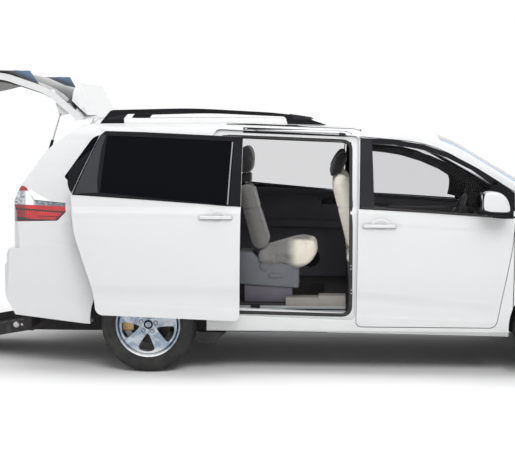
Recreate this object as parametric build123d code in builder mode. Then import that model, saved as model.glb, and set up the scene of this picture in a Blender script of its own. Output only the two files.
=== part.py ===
from build123d import *
from math import asin, atan2, cos, degrees, pi, radians, sin
import os

os.makedirs("parts", exist_ok=True)

# A wheelchair-accessible family van, in millimetres. X runs forward from the rear axle, Y to the
# left and Z up from the ground. The finished pieces are moved so that the origin lies on the
# ground under the middle of the whole length, ramp included.

# Stance and wheels
wheelbase = 3030
track = 1700
tyre_radius = 352
tyre_width = 235
rim_radius = 240
front_arch_radius = 394
rear_arch_radius = 436
rear_arch_rise = 20

# Body shell
half_width = 994
crown_depth = 3000
side_bow_radius = 90000
bow_centre_x = 1450
roof_thickness = 50
door_thickness = 112
frame_thickness = 46
skin_thickness = 26
end_thickness = 60
glass_inset = 3
glass_thickness = 5
seam = 6
door_overlap = 45
door_inset = 60

# Heights and lengths
cabin_floor = 500
floor_thickness = 40
sill_floor = 440
bumper_top = 925
roof_rear_x = -478
tail_x = -1105
nose_x = 4000
hood_rear_x = 3180
hood_front_x = 3862
fender_rear_x = 2662
pillar_foot_z = 1178
door_seam_x = 1550
slide_travel = 830
slide_stand_off = 138

# Lowered channel and ramp for the wheelchair
channel_half_width = 410
channel_floor = 250
channel_thickness = 30
channel_front_x = 1290
channel_rear_x = -985
ramp_hinge_x = -1005
ramp_hinge_z = 236
ramp_half_width = 385
ramp_length = 1216
ramp_thickness = 26
ramp_rail_height = 62
ramp_pin_radius = 9

# Tailgate
tailgate_hinge_x = -481
tailgate_hinge_z = 1882
tailgate_open = 74
stay_foot_x, stay_foot_z = -846, 1430
stay_y = 668
gas_spring_radius = 11
gas_rod_radius = 5

# Windshield and hood, half-widths at their rear and front edges
windshield_top_x = 2146
windshield_foot_x = 3146
windshield_top_half = 690
windshield_foot_half = 796
roof_half_width = 636
hood_rear_half = 786
hood_front_half = 640

# Closed outlines on the right flank, seen from the side: x, z, corner radius
front_door_corners = [
    (1530, 352, 40), (1546, 1738, 25), (2080, 1690, 900), (2690, 1330, 15), (2652, 950, 2000),
    (2545, 352, 60),
]
front_window_corners = [
    (1616, 1228, 12), (1616, 1694, 18), (2060, 1648, 700), (2500, 1402, 8), (2500, 1168, 8),
]
mirror_sail_corners = [(2512, 1167, 6), (2512, 1396, 6), (2626, 1318, 8), (2606, 1160, 8)]
sliding_door_corners = [
    (466, 440, 60), (446, 630, 300), (318, 1040, 400), (284, 1312, 60), (494, 1790, 50),
    (1538, 1739, 25), (1520, 404, 40),
]
sliding_window_corners = [(490, 1322, 20), (524, 1750, 20), (1480, 1706, 16), (1450, 1238, 16)]
quarter_window_corners = [(-520, 1330, 40), (-628, 1440, 12), (-420, 1745, 90), (372, 1752, 40), (214, 1322, 40)]
tail_lamp_corners = [
    (-664, 1120, 30), (-1000, 1112, 10), (-1160, 1112, 10), (-1160, 1380, 10), (-930, 1372, 40),
    (-596, 1196, 12),
]
headlamp_corners = [(3360, 1000, 10), (3560, 1036, 60), (3900, 930, 60), (4040, 850, 20), (3800, 840, 20)]
# Half outlines seen from behind: half-width, z, corner radius
tailgate_corners = [(718, bumper_top + 4, 30), (748, 1200, 300), (704, 1560, 300), (640, 2000, 20)]
front_bumper_corners = [
    (3290, 150, 5), (3290, 630, 20), (3560, 838, 60), (3868, 838, 5), (3868, 1060, 5), (4100, 1060, 5),
    (4100, 150, 5),
]
rear_bumper_corners = [(-1200, 150, 5), (-1200, 919, 5), (-560, 919, 40), (-380, 560, 40), (-380, 150, 5)]
tailgate_window_corners = [(622, 1262, 60), (596, 1560, 400), (540, 1790, 60)]


def inset_corners(corners, inset):
    """The corners (u, v, radius) of a clockwise outline, moved inwards by the inset."""
    moved = []
    for i, (u, v, radius) in enumerate(corners):
        before = corners[i - 1]
        after = corners[(i + 1) % len(corners)]
        turn_in = atan2(v - before[1], u - before[0])
        turn_out = atan2(after[1] - v, after[0] - u)
        middle = (turn_in + turn_out) / 2
        if abs(turn_out - turn_in) > pi:
            middle += pi
        reach = inset / cos(middle - turn_in)
        convex = sin(turn_out - turn_in) < 0
        new_radius = max(radius - inset, 2) if convex else radius + inset
        moved.append((u + reach * sin(middle), v - reach * cos(middle), new_radius))
    return moved


# Side view of the centreline: x, z, corner radius
silhouette = [
    (-985, 160, 5), (-1000, 540, 30), (-1100, 720, 90), (-1104, 850, 60), (-1052, bumper_top + 3, 12),
    (-1062, 1190, 90), (-965, 1440, 420), (-762, 1722, 420), (-512, 1874, 120),
    (600, 1884, 20000), (1750, 1850, 2000), (2230, 1740, 1000), (3168, 1190, 40),
    (3600, 1108, 1500), (3884, 975, 130), (3978, 800, 200), (4000, 600, 200),
    (3985, 400, 120), (3900, 160, 5),
]
# Side view of all that lies above the belly, whose lower edge is level across the van
belly_corners = [
    (-1300, 440, 5), (-1300, 2200, 5), (4200, 2200, 5), (4200, 272, 5), (3200, 272, 400), (2400, 290, 800),
    (1200, 311, 800), (300, 312, 600), (-480, 354, 200), (-1050, 422, 60),
]
# Cross-section of one side: half-width, z and how far the inner wall stands in there
# (0 = at the sills and doors, 1 = at the window frames)
side_section = [
    (880, 255, 0), (948, 322, 0), (962, 560, 0), (994, 840, 0), (972, 1190, 0),
    (940, 1236, 1), (884, 1490, 1), (792, 1716, 1), (752, 1784, 1), (676, 1826, 1),
]
# Plan of the right half: x, half-width, corner radius; the bumper bulges out at the rear corners
flank_and_nose = [(-640, 1040, 600), (3260, 1046, 900), (3800, 866, 420), (4012, 330, 700)]
plan_corners = [(-1112, 430, 1600), (-986, 966, 150)] + flank_and_nose
bumper_plan_corners = [(-1124, 560, 900), (-1078, 975, 170)] + flank_and_nose
# Side view of the bulge, whose upper edge slopes out from the body
bulge_corners = [(-1300, 100, 5), (-1300, 600, 5), (-1110, 740, 60), (-1030, 918, 12), (-400, 918, 5), (-400, 100, 5)]


def widened(corners, width):
    """The clockwise corners (u, v, radius) moved outwards by the width."""
    return inset_corners(corners, -width)


def both_sides(half_corners):
    """A clockwise outline from the corners of its right half as seen from behind."""
    return [(-u, v, r) for u, v, r in half_corners] + list(reversed(half_corners))


def outline(corners):
    """The closed line through the corners (u, v, radius), each one rounded."""
    with BuildLine() as line:
        FilletPolyline(*[(u, v) for u, v, r in corners], radius=[r for u, v, r in corners], close=True)
    return line.edges()


def crown_solid(inset):
    """The centreline silhouette turned about a low lengthwise axis, which crowns the roof."""
    low_axis = Axis((0, 0, -crown_depth), (1, 0, 0))
    half_arc = 18
    with BuildPart() as solid:
        with BuildSketch(Plane.XZ):
            make_face(outline(inset_corners(silhouette, inset)))
        revolve(axis=low_axis, revolution_arc=2 * half_arc)
    return solid.part.rotate(low_axis, -half_arc)


def side_solid(low_inset, high_inset):
    """All that lies inside the right flank, whose section bows about a far upright axis."""
    def at(i):
        y, z, high = side_section[i]
        return (-y + (high_inset if high else low_inset), z)
    bow_axis = Axis((bow_centre_x, side_bow_radius - half_width, 0), (0, 0, 1))
    half_arc = degrees(2750 / side_bow_radius)
    with BuildPart() as solid:
        with BuildSketch(Plane.YZ.offset(bow_centre_x)):
            with BuildLine():
                Line(at(0), at(1))
                Line(at(1), at(2))
                ThreePointArc(at(2), at(3), at(4))
                Line(at(4), at(5))
                ThreePointArc(at(5), at(6), at(7))
                ThreePointArc(at(7), at(8), at(9))
                Polyline(at(9), (-560, 2100), (1300, 2100), (1300, 200), (at(0)[0], 200), at(0))
            make_face()
        revolve(axis=bow_axis, revolution_arc=2 * half_arc)
    return solid.part.rotate(bow_axis, -half_arc)


def upright_prism(half_corners, inset):
    """The plan outline, moved inwards by the inset, as an upright prism."""
    corners = half_corners + [(x, -y, r) for x, y, r in reversed(half_corners)]
    with BuildPart() as solid:
        with BuildSketch(Plane.XY.offset(150)):
            make_face(outline(inset_corners(corners, inset)))
        extrude(amount=1900)
    return solid.part


def plan_solid(inset):
    """The plan of nose and tail, with the bumper's bulge at the rear."""
    with BuildPart() as bulge:
        add(upright_prism(bumper_plan_corners, inset))
        with BuildSketch(Plane.XZ.offset(-1300)):
            make_face(outline(inset_corners(bulge_corners, inset)))
        extrude(amount=2600, mode=Mode.INTERSECT)
    with BuildPart() as solid:
        add(upright_prism(plan_corners, inset))
        add(bulge.part)
    return solid.part


def hull(crown_inset, low_inset, high_inset, end_inset):
    """The van's outer form, or a form inside it at the given depths."""
    right = side_solid(low_inset, high_inset)
    with BuildPart() as solid:
        add(crown_solid(crown_inset))
        add(right, mode=Mode.INTERSECT)
        add(mirror(right, about=Plane.XZ, mode=Mode.PRIVATE), mode=Mode.INTERSECT)
        add(plan_solid(end_inset), mode=Mode.INTERSECT)
        with BuildSketch(Plane.XZ.offset(-1300)):
            make_face(outline(inset_corners(belly_corners, crown_inset)))
        extrude(amount=2600, mode=Mode.INTERSECT)
    return solid.part


def side_prism(corners, near=560, far=1300):
    """The side-view outline carried outwards through the right flank."""
    with BuildPart() as solid:
        with BuildSketch(Plane.XZ.offset(near)):
            make_face(outline(corners))
        extrude(amount=far - near)
    return solid.part


def rear_prism(corners, start_x, end_x):
    """The rear-view outline carried forwards."""
    with BuildPart() as solid:
        with BuildSketch(Plane.YZ.offset(start_x)):
            make_face(outline(corners))
        extrude(amount=end_x - start_x)
    return solid.part


def block(x0, x1, y0, y1, z0, z1):
    """A plain block between the given coordinates."""
    with BuildPart() as solid:
        with Locations(((x0 + x1) / 2, (y0 + y1) / 2, (z0 + z1) / 2)):
            Box(abs(x1 - x0), abs(y1 - y0), abs(z1 - z0))
    return solid.part


def arch(x, z, radius, near=540, far=1100):
    """The wheel's space: a cylinder across the right flank."""
    with BuildPart() as solid:
        with BuildSketch(Plane.XZ.offset(near)):
            with Locations((x, z)):
                Circle(radius)
        extrude(amount=far - near)
    return solid.part


# The nested forms of the body: paint, skin, trim and glass faces
outer_form = hull(0, 0, 0, 0)
skin_form = hull(skin_thickness, skin_thickness, skin_thickness - 4, skin_thickness)
inner_form = hull(roof_thickness, door_thickness, frame_thickness, end_thickness)
glass_depth = glass_inset + glass_thickness
glass_form = hull(glass_inset, glass_inset, glass_inset, glass_inset)
glass_back_form = hull(glass_depth, glass_depth, glass_depth, glass_depth)

with BuildPart() as shell:
    add(outer_form)
    add(inner_form, mode=Mode.SUBTRACT)

with BuildPart() as skin_layer:
    add(outer_form)
    add(skin_form, mode=Mode.SUBTRACT)

with BuildPart() as frame_layer:
    add(skin_form)
    add(inner_form, mode=Mode.SUBTRACT)

with BuildPart() as glass_layer:
    add(glass_form)
    add(glass_back_form, mode=Mode.SUBTRACT)


def body_opening(corners):
    """What a door takes out of the flank: its seam in the skin, and less in the frame behind."""
    with BuildPart() as solid:
        add(side_prism(widened(corners, seam / 2)))
        add(skin_form, mode=Mode.SUBTRACT)
        add(side_prism(inset_corners(corners, door_overlap)))
    return solid.part


def door_leaf(corners):
    """A door as thick as the flank: its skin, and a smaller frame that enters the opening."""
    with BuildPart() as frame:
        add(frame_layer.part)
        add(side_prism(inset_corners(corners, door_inset)), mode=Mode.INTERSECT)
    with BuildPart() as leaf:
        add(skin_layer.part)
        add(side_prism(inset_corners(corners, seam / 2)), mode=Mode.INTERSECT)
        add(frame.part)
    return leaf.part


def pane(corners):
    """A side window's glass, let into the flank."""
    with BuildPart() as glass:
        add(glass_layer.part)
        add(side_prism(inset_corners(corners, 0.3)), mode=Mode.INTERSECT)
    return glass.part


def plan_prism(half_corners, low, high):
    """A plan outline, from the corners (x, half-width, radius) of its left half, carried upwards."""
    corners = half_corners + [(x, -y, r) for x, y, r in reversed(half_corners)]
    with BuildPart() as solid:
        with BuildSketch(Plane.XY.offset(low)):
            make_face(outline(corners))
        extrude(amount=high - low)
    return solid.part


# Regions that the body's panels share
windshield_region = plan_prism(
    [(windshield_top_x, windshield_top_half, 50), (windshield_foot_x, windshield_foot_half, 40)], 1050, 1950)
hood_region = plan_prism(
    [(hood_rear_x, hood_rear_half, 5), (3500, hood_rear_half - 8, 500), (hood_front_x, hood_front_half, 60)],
    800, 1300)
tailgate_region = rear_prism(widened(both_sides(tailgate_corners), seam), -1300, roof_rear_x)
rear_arch = arch(0, tyre_radius + rear_arch_rise, rear_arch_radius)
front_arch = arch(wheelbase, tyre_radius, front_arch_radius)
roof_region = block(roof_rear_x, windshield_top_x - 3, -roof_half_width, roof_half_width, 1600, 2000)
bumper_gap_half = channel_half_width + channel_thickness + 8
upper_grille = block(3868, 4050, -424, 424, 852, 962)
lower_grille = block(3780, 4050, -560, 560, 402, 556)

# Body sides: pillars, sills, quarter panels and the inner walls
with BuildPart() as body_side_right:
    add(shell.part)
    add(block(-1200, windshield_foot_x, -1100, 0, 150, 2000), mode=Mode.INTERSECT)
    add(front_arch, mode=Mode.SUBTRACT)
    add(block(fender_rear_x, 3300, -1100, 0, 150, pillar_foot_z), mode=Mode.SUBTRACT)
    add(block(-1200, fender_rear_x, -790, 0, 150, sill_floor), mode=Mode.SUBTRACT)
    add(block(2600, windshield_foot_x, -600, 0, 150, 1300), mode=Mode.SUBTRACT)
    add(roof_region, mode=Mode.SUBTRACT)
    add(windshield_region, mode=Mode.SUBTRACT)
    add(tailgate_region, mode=Mode.SUBTRACT)
    add(side_prism(rear_bumper_corners, near=0), mode=Mode.SUBTRACT)
    add(body_opening(front_door_corners), mode=Mode.SUBTRACT)
    add(body_opening(sliding_door_corners), mode=Mode.SUBTRACT)
    add(side_prism(quarter_window_corners), mode=Mode.SUBTRACT)
    add(side_prism(tail_lamp_corners), mode=Mode.SUBTRACT)
    add(rear_arch, mode=Mode.SUBTRACT)
    add(block(-1200, -900, -724, 0, 800, 940), mode=Mode.SUBTRACT)
    # Bracket and stud that carry the gas spring's foot
    add(block(-925, stay_foot_x + 12, -744, -726, stay_foot_z - 24, stay_foot_z + 24))
    with BuildSketch(Plane.XZ.offset(stay_y - 10)):
        with Locations((stay_foot_x, stay_foot_z)):
            Circle(6)
    extrude(amount=70)

with BuildPart() as body_side_left:
    mirror(body_side_right.part, about=Plane.XZ)

with BuildPart() as roof:
    add(shell.part)
    add(roof_region, mode=Mode.INTERSECT)

with BuildPart() as windshield:
    add(glass_layer.part)
    add(windshield_region, mode=Mode.INTERSECT)

with BuildPart() as cowl:
    add(skin_layer.part)
    add(block(windshield_foot_x, hood_rear_x - seam, -hood_rear_half, hood_rear_half, 1000, 1300),
        mode=Mode.INTERSECT)

with BuildPart() as hood:
    add(skin_layer.part)
    add(hood_region, mode=Mode.INTERSECT)

with BuildPart() as fender_right:
    add(skin_layer.part)
    add(block(fender_rear_x + seam, 3868 - seam, -1100, 0, 150, 1300), mode=Mode.INTERSECT)
    add(block(0, windshield_foot_x + 2, -1100, 0, pillar_foot_z - seam, 1400), mode=Mode.SUBTRACT)
    add(block(0, 4000, -800, 0, 0, 700), mode=Mode.SUBTRACT)
    add(block(0, hood_rear_x, -hood_rear_half - seam, 0, 0, 1400), mode=Mode.SUBTRACT)
    add(plan_prism([(hood_rear_x - 30, hood_rear_half + seam, 5), (3500, hood_rear_half - 8 + seam, 500),
                    (hood_front_x + 30, hood_front_half + seam, 40)], 700, 1300), mode=Mode.SUBTRACT)
    add(side_prism(front_bumper_corners, near=0), mode=Mode.SUBTRACT)
    add(side_prism(headlamp_corners, near=430), mode=Mode.SUBTRACT)
    add(side_prism(widened(front_door_corners, seam / 2)), mode=Mode.SUBTRACT)
    add(front_arch, mode=Mode.SUBTRACT)

with BuildPart() as fender_left:
    mirror(fender_right.part, about=Plane.XZ)

# Bumpers: the rear one is open in the middle, where the ramp passes
with BuildPart() as front_bumper:
    add(skin_layer.part)
    add(side_prism(front_bumper_corners, near=-1100), mode=Mode.INTERSECT)
    add(upper_grille, mode=Mode.SUBTRACT)
    add(lower_grille, mode=Mode.SUBTRACT)
    for lamp in (side_prism(headlamp_corners, near=430), front_arch):
        add(lamp, mode=Mode.SUBTRACT)
        add(mirror(lamp, about=Plane.XZ, mode=Mode.PRIVATE), mode=Mode.SUBTRACT)

with BuildPart() as rear_bumper:
    add(skin_layer.part)
    add(side_prism(rear_bumper_corners, near=-1100), mode=Mode.INTERSECT)
    add(block(-1200, 0, -bumper_gap_half, bumper_gap_half, 0, 1000), mode=Mode.SUBTRACT)
    add(block(channel_rear_x - 4, 0, -790, 790, 0, 1000), mode=Mode.SUBTRACT)
    add(rear_arch, mode=Mode.SUBTRACT)
    add(mirror(rear_arch, about=Plane.XZ, mode=Mode.PRIVATE), mode=Mode.SUBTRACT)

# Grille: slatted panels above and below the bumper bar
grille_rows = [(upper_grille, 400, 870, 4, 24, 10), (lower_grille, 536, 422, 5, 26, 11)]
with BuildPart() as grille:
    for panel, slot_half, first_z, count, pitch, slot in grille_rows:
        with BuildPart(mode=Mode.PRIVATE) as slats:
            add(skin_layer.part)
            add(panel, mode=Mode.INTERSECT)
            for row in range(count):
                z = first_z + row * pitch
                add(block(3700, 4100, -slot_half, slot_half, z, z + slot), mode=Mode.SUBTRACT)
        add(slats.part)

# Doors: built shut; the right sliding door stands open, out and rearwards along its rail
handle_length, handle_depth = 234, 16


def pull_handle(rear_x, z, skin_y):
    """A grab handle on two feet that stand in the door's skin."""
    with BuildPart() as solid:
        with Locations((rear_x + handle_length / 2, -skin_y - handle_depth, z)):
            Box(handle_length, handle_depth, 26)
        fillet(solid.edges(), 6)
        for x in (rear_x + 18, rear_x + handle_length - 18):
            add(block(x - 14, x + 14, -skin_y - handle_depth, -skin_y + 12, z - 10, z + 10))
    return solid.part


with BuildPart() as front_door_right:
    add(door_leaf(front_door_corners))
    add(pull_handle(1579, 1095, 984))
    add(side_prism(front_window_corners), mode=Mode.SUBTRACT)
    add(side_prism(mirror_sail_corners), mode=Mode.SUBTRACT)

with BuildPart() as sliding_door:
    add(door_leaf(sliding_door_corners))
    add(side_prism(sliding_window_corners), mode=Mode.SUBTRACT)
    add(pull_handle(1233, 1162, 976))

with BuildPart() as front_door_left:
    mirror(front_door_right.part, about=Plane.XZ)

with BuildPart() as sliding_door_left:
    mirror(sliding_door.part, about=Plane.XZ)

with BuildPart() as sliding_door_right:
    add(sliding_door.part.moved(Location((-slide_travel, -slide_stand_off, 0))))

front_pane = pane(front_window_corners)
with BuildPart() as front_door_glass_right:
    add(front_pane)

with BuildPart() as front_door_glass_left:
    mirror(front_pane, about=Plane.XZ)

sliding_pane = pane(sliding_window_corners)
with BuildPart() as sliding_door_glass_left:
    mirror(sliding_pane, about=Plane.XZ)

with BuildPart() as sliding_door_glass_right:
    add(sliding_pane.moved(Location((-slide_travel, -slide_stand_off, 0))))

with BuildPart() as quarter_glass:
    add(pane(quarter_window_corners))
    mirror(about=Plane.XZ)

with BuildPart() as tail_lamps:
    add(skin_layer.part)
    add(side_prism(inset_corners(tail_lamp_corners, 0.3)), mode=Mode.INTERSECT)
    add(tailgate_region, mode=Mode.SUBTRACT)
    mirror(about=Plane.XZ)

with BuildPart() as headlamps:
    add(skin_layer.part)
    add(side_prism(inset_corners(headlamp_corners, 0.3), near=430.3), mode=Mode.INTERSECT)
    add(hood_region, mode=Mode.SUBTRACT)
    mirror(about=Plane.XZ)

# Tailgate: built shut, then turned up about its hinge line
tailgate_hinge = Axis((tailgate_hinge_x, 0, tailgate_hinge_z), (0, 1, 0))
tailgate_inner = rear_prism(both_sides(tailgate_corners), -1300, roof_rear_x - seam)
eye_x, eye_z = tailgate_hinge_x - 79, tailgate_hinge_z - 202
lug_width = 10
# Spoiler: a wing that carries the roof line over the glass and narrows to its tip
with BuildPart() as spoiler:
    with BuildSketch(Plane.XZ.offset(-622)):
        with BuildLine():
            Polyline((-500, 1868), (-760, 1850), (-788, 1836), (-772, 1818), (-640, 1776), (-500, 1868))
        make_face()
    extrude(amount=1244)
    with BuildSketch(Plane.XY.offset(1700)):
        with BuildLine():
            Polyline((-400, -622), (-560, -622), (-700, -540), (-800, -330), (-800, 330), (-700, 540),
                     (-560, 622), (-400, 622), (-400, -622))
        make_face()
    extrude(amount=300, mode=Mode.INTERSECT)

with BuildPart() as tailgate_shut:
    add(shell.part)
    add(tailgate_inner, mode=Mode.INTERSECT)
    add(rear_prism(both_sides(tailgate_window_corners), -1300, roof_rear_x - 60), mode=Mode.SUBTRACT)
    add(spoiler.part)
    # Lugs for the gas springs' upper eyes
    for side in (-1, 1):
        add(block(eye_x - 90, eye_x + 14, side * (stay_y - 16), side * (stay_y - 16 - lug_width),
                  eye_z - 14, eye_z + 60))

with BuildPart() as tailgate:
    add(tailgate_shut.part.rotate(tailgate_hinge, tailgate_open))

with BuildPart() as tailgate_glass_shut:
    add(glass_layer.part)
    add(rear_prism(inset_corners(both_sides(tailgate_window_corners), 0.3), -1300, roof_rear_x - 60),
        mode=Mode.INTERSECT)
    # The spoiler's foot lies over the top of the pane, with a bead of sealant between them
    add(spoiler.part, mode=Mode.SUBTRACT)
    add(Pos(0, 0, -0.3) * spoiler.part, mode=Mode.SUBTRACT)

with BuildPart() as tailgate_glass:
    add(tailgate_glass_shut.part.rotate(tailgate_hinge, tailgate_open))


def gas_spring_plane(y):
    """A plane at the gas spring's foot whose normal points at its upper eye."""
    return Plane(origin=(stay_foot_x, y, stay_foot_z), x_dir=(0, 1, 0), z_dir=stay_direction)


# Gas springs: the tube turns on a stud in the rear pillar, the rod's eye on the tailgate's lug
stay_tube_length = 292
stay_fit = 0.3
open_turn = radians(tailgate_open)
eye_open_x = (tailgate_hinge_x + (eye_x - tailgate_hinge_x) * cos(open_turn)
              + (eye_z - tailgate_hinge_z) * sin(open_turn))
eye_open_z = (tailgate_hinge_z - (eye_x - tailgate_hinge_x) * sin(open_turn)
              + (eye_z - tailgate_hinge_z) * cos(open_turn))
stay_direction = (eye_open_x - stay_foot_x, 0, eye_open_z - stay_foot_z)
stay_length = Vector(*stay_direction).length

with BuildPart() as stay_tubes:
    for side in (-1, 1):
        with BuildSketch(gas_spring_plane(side * stay_y)):
            Circle(gas_spring_radius)
        extrude(amount=stay_tube_length)
        with BuildSketch(gas_spring_plane(side * stay_y)):
            Circle(gas_rod_radius + stay_fit)
        extrude(amount=stay_tube_length + 1, mode=Mode.SUBTRACT)
        with BuildSketch(gas_spring_plane(side * stay_y)):
            Circle(gas_spring_radius)
        extrude(amount=10)
        with BuildSketch(Plane.XZ.offset(-side * (stay_y + 8))):
            with Locations((stay_foot_x, stay_foot_z)):
                Circle(12)
        extrude(amount=side * 16)
        with BuildSketch(Plane.XZ.offset(-side * (stay_y + 8))):
            with Locations((stay_foot_x, stay_foot_z)):
                Circle(6.1)
        extrude(amount=side * 20, mode=Mode.SUBTRACT)
        with BuildSketch(Plane.XZ.offset(-side * (stay_y + 8))):
            with Locations((stay_foot_x, stay_foot_z)):
                Circle(6.1)
        extrude(amount=-side * 8, mode=Mode.SUBTRACT)

with BuildPart() as stay_rods:
    for side in (-1, 1):
        with BuildSketch(gas_spring_plane(side * stay_y).offset(stay_length - 296)):
            Circle(gas_rod_radius)
        extrude(amount=296)
        # The ball and its stud, which bears on the tailgate's lug
        with Locations((eye_open_x, side * stay_y, eye_open_z)):
            Sphere(8)
        with BuildSketch(Plane.XZ.offset(-side * (stay_y - 16 + 0.2))):
            with Locations((eye_open_x, eye_open_z)):
                Circle(5)
        extrude(amount=-side * 16)

# Floor: the flat floor, the lowered channel between the seats and the inner wheel houses
firewall_x = 2950
floor_half = 866
wheel_house_inner = 625
front_house_inner = 540
wheel_house_wall = 12
front_house_radius = 404
channel_outer_half = channel_half_width + channel_thickness
channel_bottom = channel_floor - channel_thickness


def both(solid):
    """The solid and its mirror image on the other flank."""
    return [solid, mirror(solid, about=Plane.XZ, mode=Mode.PRIVATE)]


def wheel_house(x, z, radius, inner, bottom, outer):
    """A round-topped cover over a wheel, open towards the flank."""
    with BuildPart() as house:
        add(arch(x, z, radius + wheel_house_wall, inner - wheel_house_wall, outer))
        add(arch(x, z, radius, inner, outer), mode=Mode.SUBTRACT)
        add(block(x - 1000, x + 1000, -1100, 0, -300, bottom), mode=Mode.SUBTRACT)
    return house.part


with BuildPart() as floor:
    add(block(channel_rear_x, firewall_x, -floor_half, floor_half, cabin_floor - floor_thickness, cabin_floor))
    for side in (-1, 1):
        add(block(560, 2600, side * 790, side * floor_half, 250, cabin_floor))
    add(inner_form, mode=Mode.INTERSECT)
    for space in both(arch(0, tyre_radius + rear_arch_rise, rear_arch_radius, wheel_house_inner - 2)):
        add(space, mode=Mode.SUBTRACT)
    for space in both(arch(wheelbase, tyre_radius, front_house_radius + wheel_house_wall + 1,
                           front_house_inner - wheel_house_wall - 1)):
        add(space, mode=Mode.SUBTRACT)
    add(block(channel_rear_x, channel_front_x + channel_thickness, -channel_outer_half,
              channel_outer_half, channel_bottom, cabin_floor))
    add(block(channel_rear_x - 1, channel_front_x, -channel_half_width, channel_half_width,
              channel_floor, cabin_floor + 1), mode=Mode.SUBTRACT)
    with BuildPart(mode=Mode.PRIVATE) as rear_houses:
        add(wheel_house(0, tyre_radius + rear_arch_rise, rear_arch_radius, wheel_house_inner, 430, 900))
        add(inner_form, mode=Mode.INTERSECT)
    for house in both(rear_houses.part):
        add(house)
    # Rear cross-member ends and the ramp's hinge lugs
    for side in (-1, 1):
        add(block(channel_rear_x - 46, channel_rear_x, side * (ramp_half_width + 8),
                  side * channel_outer_half, channel_bottom - 8, channel_floor + 26))
        add(block(channel_rear_x, channel_rear_x + 60, side * channel_outer_half, side * 740,
                  channel_bottom + 60, cabin_floor))
        with BuildSketch(Plane.XZ.offset(-side * (ramp_half_width + 8))):
            with Locations((ramp_hinge_x, ramp_hinge_z)):
                Circle(ramp_pin_radius + 0.05)
        extrude(amount=-side * 30, mode=Mode.SUBTRACT)

# Ramp: a ribbed plate between two rails, turning on pins in the channel's lugs
ramp_reach = (ramp_length ** 2 + ramp_thickness ** 2) ** 0.5
ramp_slope = degrees(asin(ramp_hinge_z / ramp_reach) - atan2(ramp_thickness, ramp_length))
ramp_hinge = Axis((ramp_hinge_x, 0, ramp_hinge_z), (0, 1, 0))
with BuildPart() as ramp_level:
    add(block(ramp_hinge_x - ramp_length, ramp_hinge_x, -ramp_half_width, ramp_half_width,
              ramp_hinge_z - ramp_thickness, ramp_hinge_z))
    for side in (-1, 1):
        add(block(ramp_hinge_x - ramp_length + 120, ramp_hinge_x - 40, side * ramp_half_width,
                  side * (ramp_half_width - 16), ramp_hinge_z, ramp_hinge_z + ramp_rail_height))
    with BuildSketch(Plane.XZ.offset(-ramp_half_width)):
        with Locations((ramp_hinge_x, ramp_hinge_z)):
            Circle(17)
    extrude(amount=2 * ramp_half_width)
    with BuildSketch(Plane.XZ.offset(-ramp_half_width - 26)):
        with Locations((ramp_hinge_x, ramp_hinge_z)):
            Circle(ramp_pin_radius)
    extrude(amount=2 * ramp_half_width + 52)
    # The tip is bevelled to meet the ground
    with BuildSketch(Plane.XZ.offset(-ramp_half_width - 1)):
        with BuildLine():
            Polyline((ramp_hinge_x - ramp_length - 1, ramp_hinge_z + 1),
                     (ramp_hinge_x - ramp_length + 90, ramp_hinge_z + 1),
                     (ramp_hinge_x - ramp_length - 1, ramp_hinge_z - ramp_thickness + 6),
                     (ramp_hinge_x - ramp_length - 1, ramp_hinge_z + 1))
        make_face()
    extrude(amount=2 * ramp_half_width + 2, mode=Mode.SUBTRACT)

with BuildPart() as ramp:
    add(ramp_level.part.rotate(ramp_hinge, -ramp_slope))

# Front structure: firewall, inner wheel houses, side rails and the radiator's cross-panel
with BuildPart() as front_structure:
    add(block(firewall_x, 2985, -900, 900, 330, 1120))
    add(block(2985, 3860, -440, -370, 420, 520))
    add(block(2985, 3860, 370, 440, 420, 520))
    add(block(3800, 3860, -620, 620, 420, 470))
    add(block(3800, 3860, -620, 620, 780, 830))
    for y in (-620, -30, 560):
        add(block(3800, 3860, y, y + 60, 420, 830))
    add(inner_form, mode=Mode.INTERSECT)
    for space in both(arch(wheelbase, tyre_radius, front_house_radius, front_house_inner)):
        add(space, mode=Mode.SUBTRACT)
    with BuildPart(mode=Mode.PRIVATE) as front_houses:
        add(wheel_house(wheelbase, tyre_radius, front_house_radius, front_house_inner, 312, 890))
        add(block(2000, fender_rear_x + seam, -1100, -786, 0, 1300), mode=Mode.SUBTRACT)
    for house in both(front_houses.part):
        add(house)

# Engine: the one heavy mass, as a plain block on the subframe
with BuildPart() as engine:
    add(block(3180, 3640, -300, 300, 300, 900))

# Front subframe with the lower arms that carry the knuckles
kingpin_y = 790
ball_joint_z = 182
with BuildPart() as front_subframe:
    add(block(2900, 3270, -360, 360, 214, 300))
    add(block(2960, 3210, -250, 250, 200, 310), mode=Mode.SUBTRACT)
    for side in (-1, 1):
        with BuildSketch(Plane.XY.offset(ball_joint_z - 4)):
            with BuildLine():
                Polyline((2905, side * 340), (wheelbase - 32, side * 770), (wheelbase - 28, side * 812),
                         (wheelbase + 28, side * 812), (wheelbase + 32, side * 770),
                         (3130, side * 340), (2905, side * 340))
            make_face()
        extrude(amount=32)
        add(block(2905, 3130, side * 320, side * 356, ball_joint_z - 4, 230))
    for x, top in ((2905, cabin_floor - floor_thickness), (3215, 420)):
        for side in (-1, 1):
            add(block(x, x + 45, side * 372, side * 432, 290, top))
            add(block(x, x + 45, side * 340, side * 432, 262, 290))

stub_radius = 26
disc_radius = 158
disc_near_y, disc_far_y = 826, 838


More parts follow.
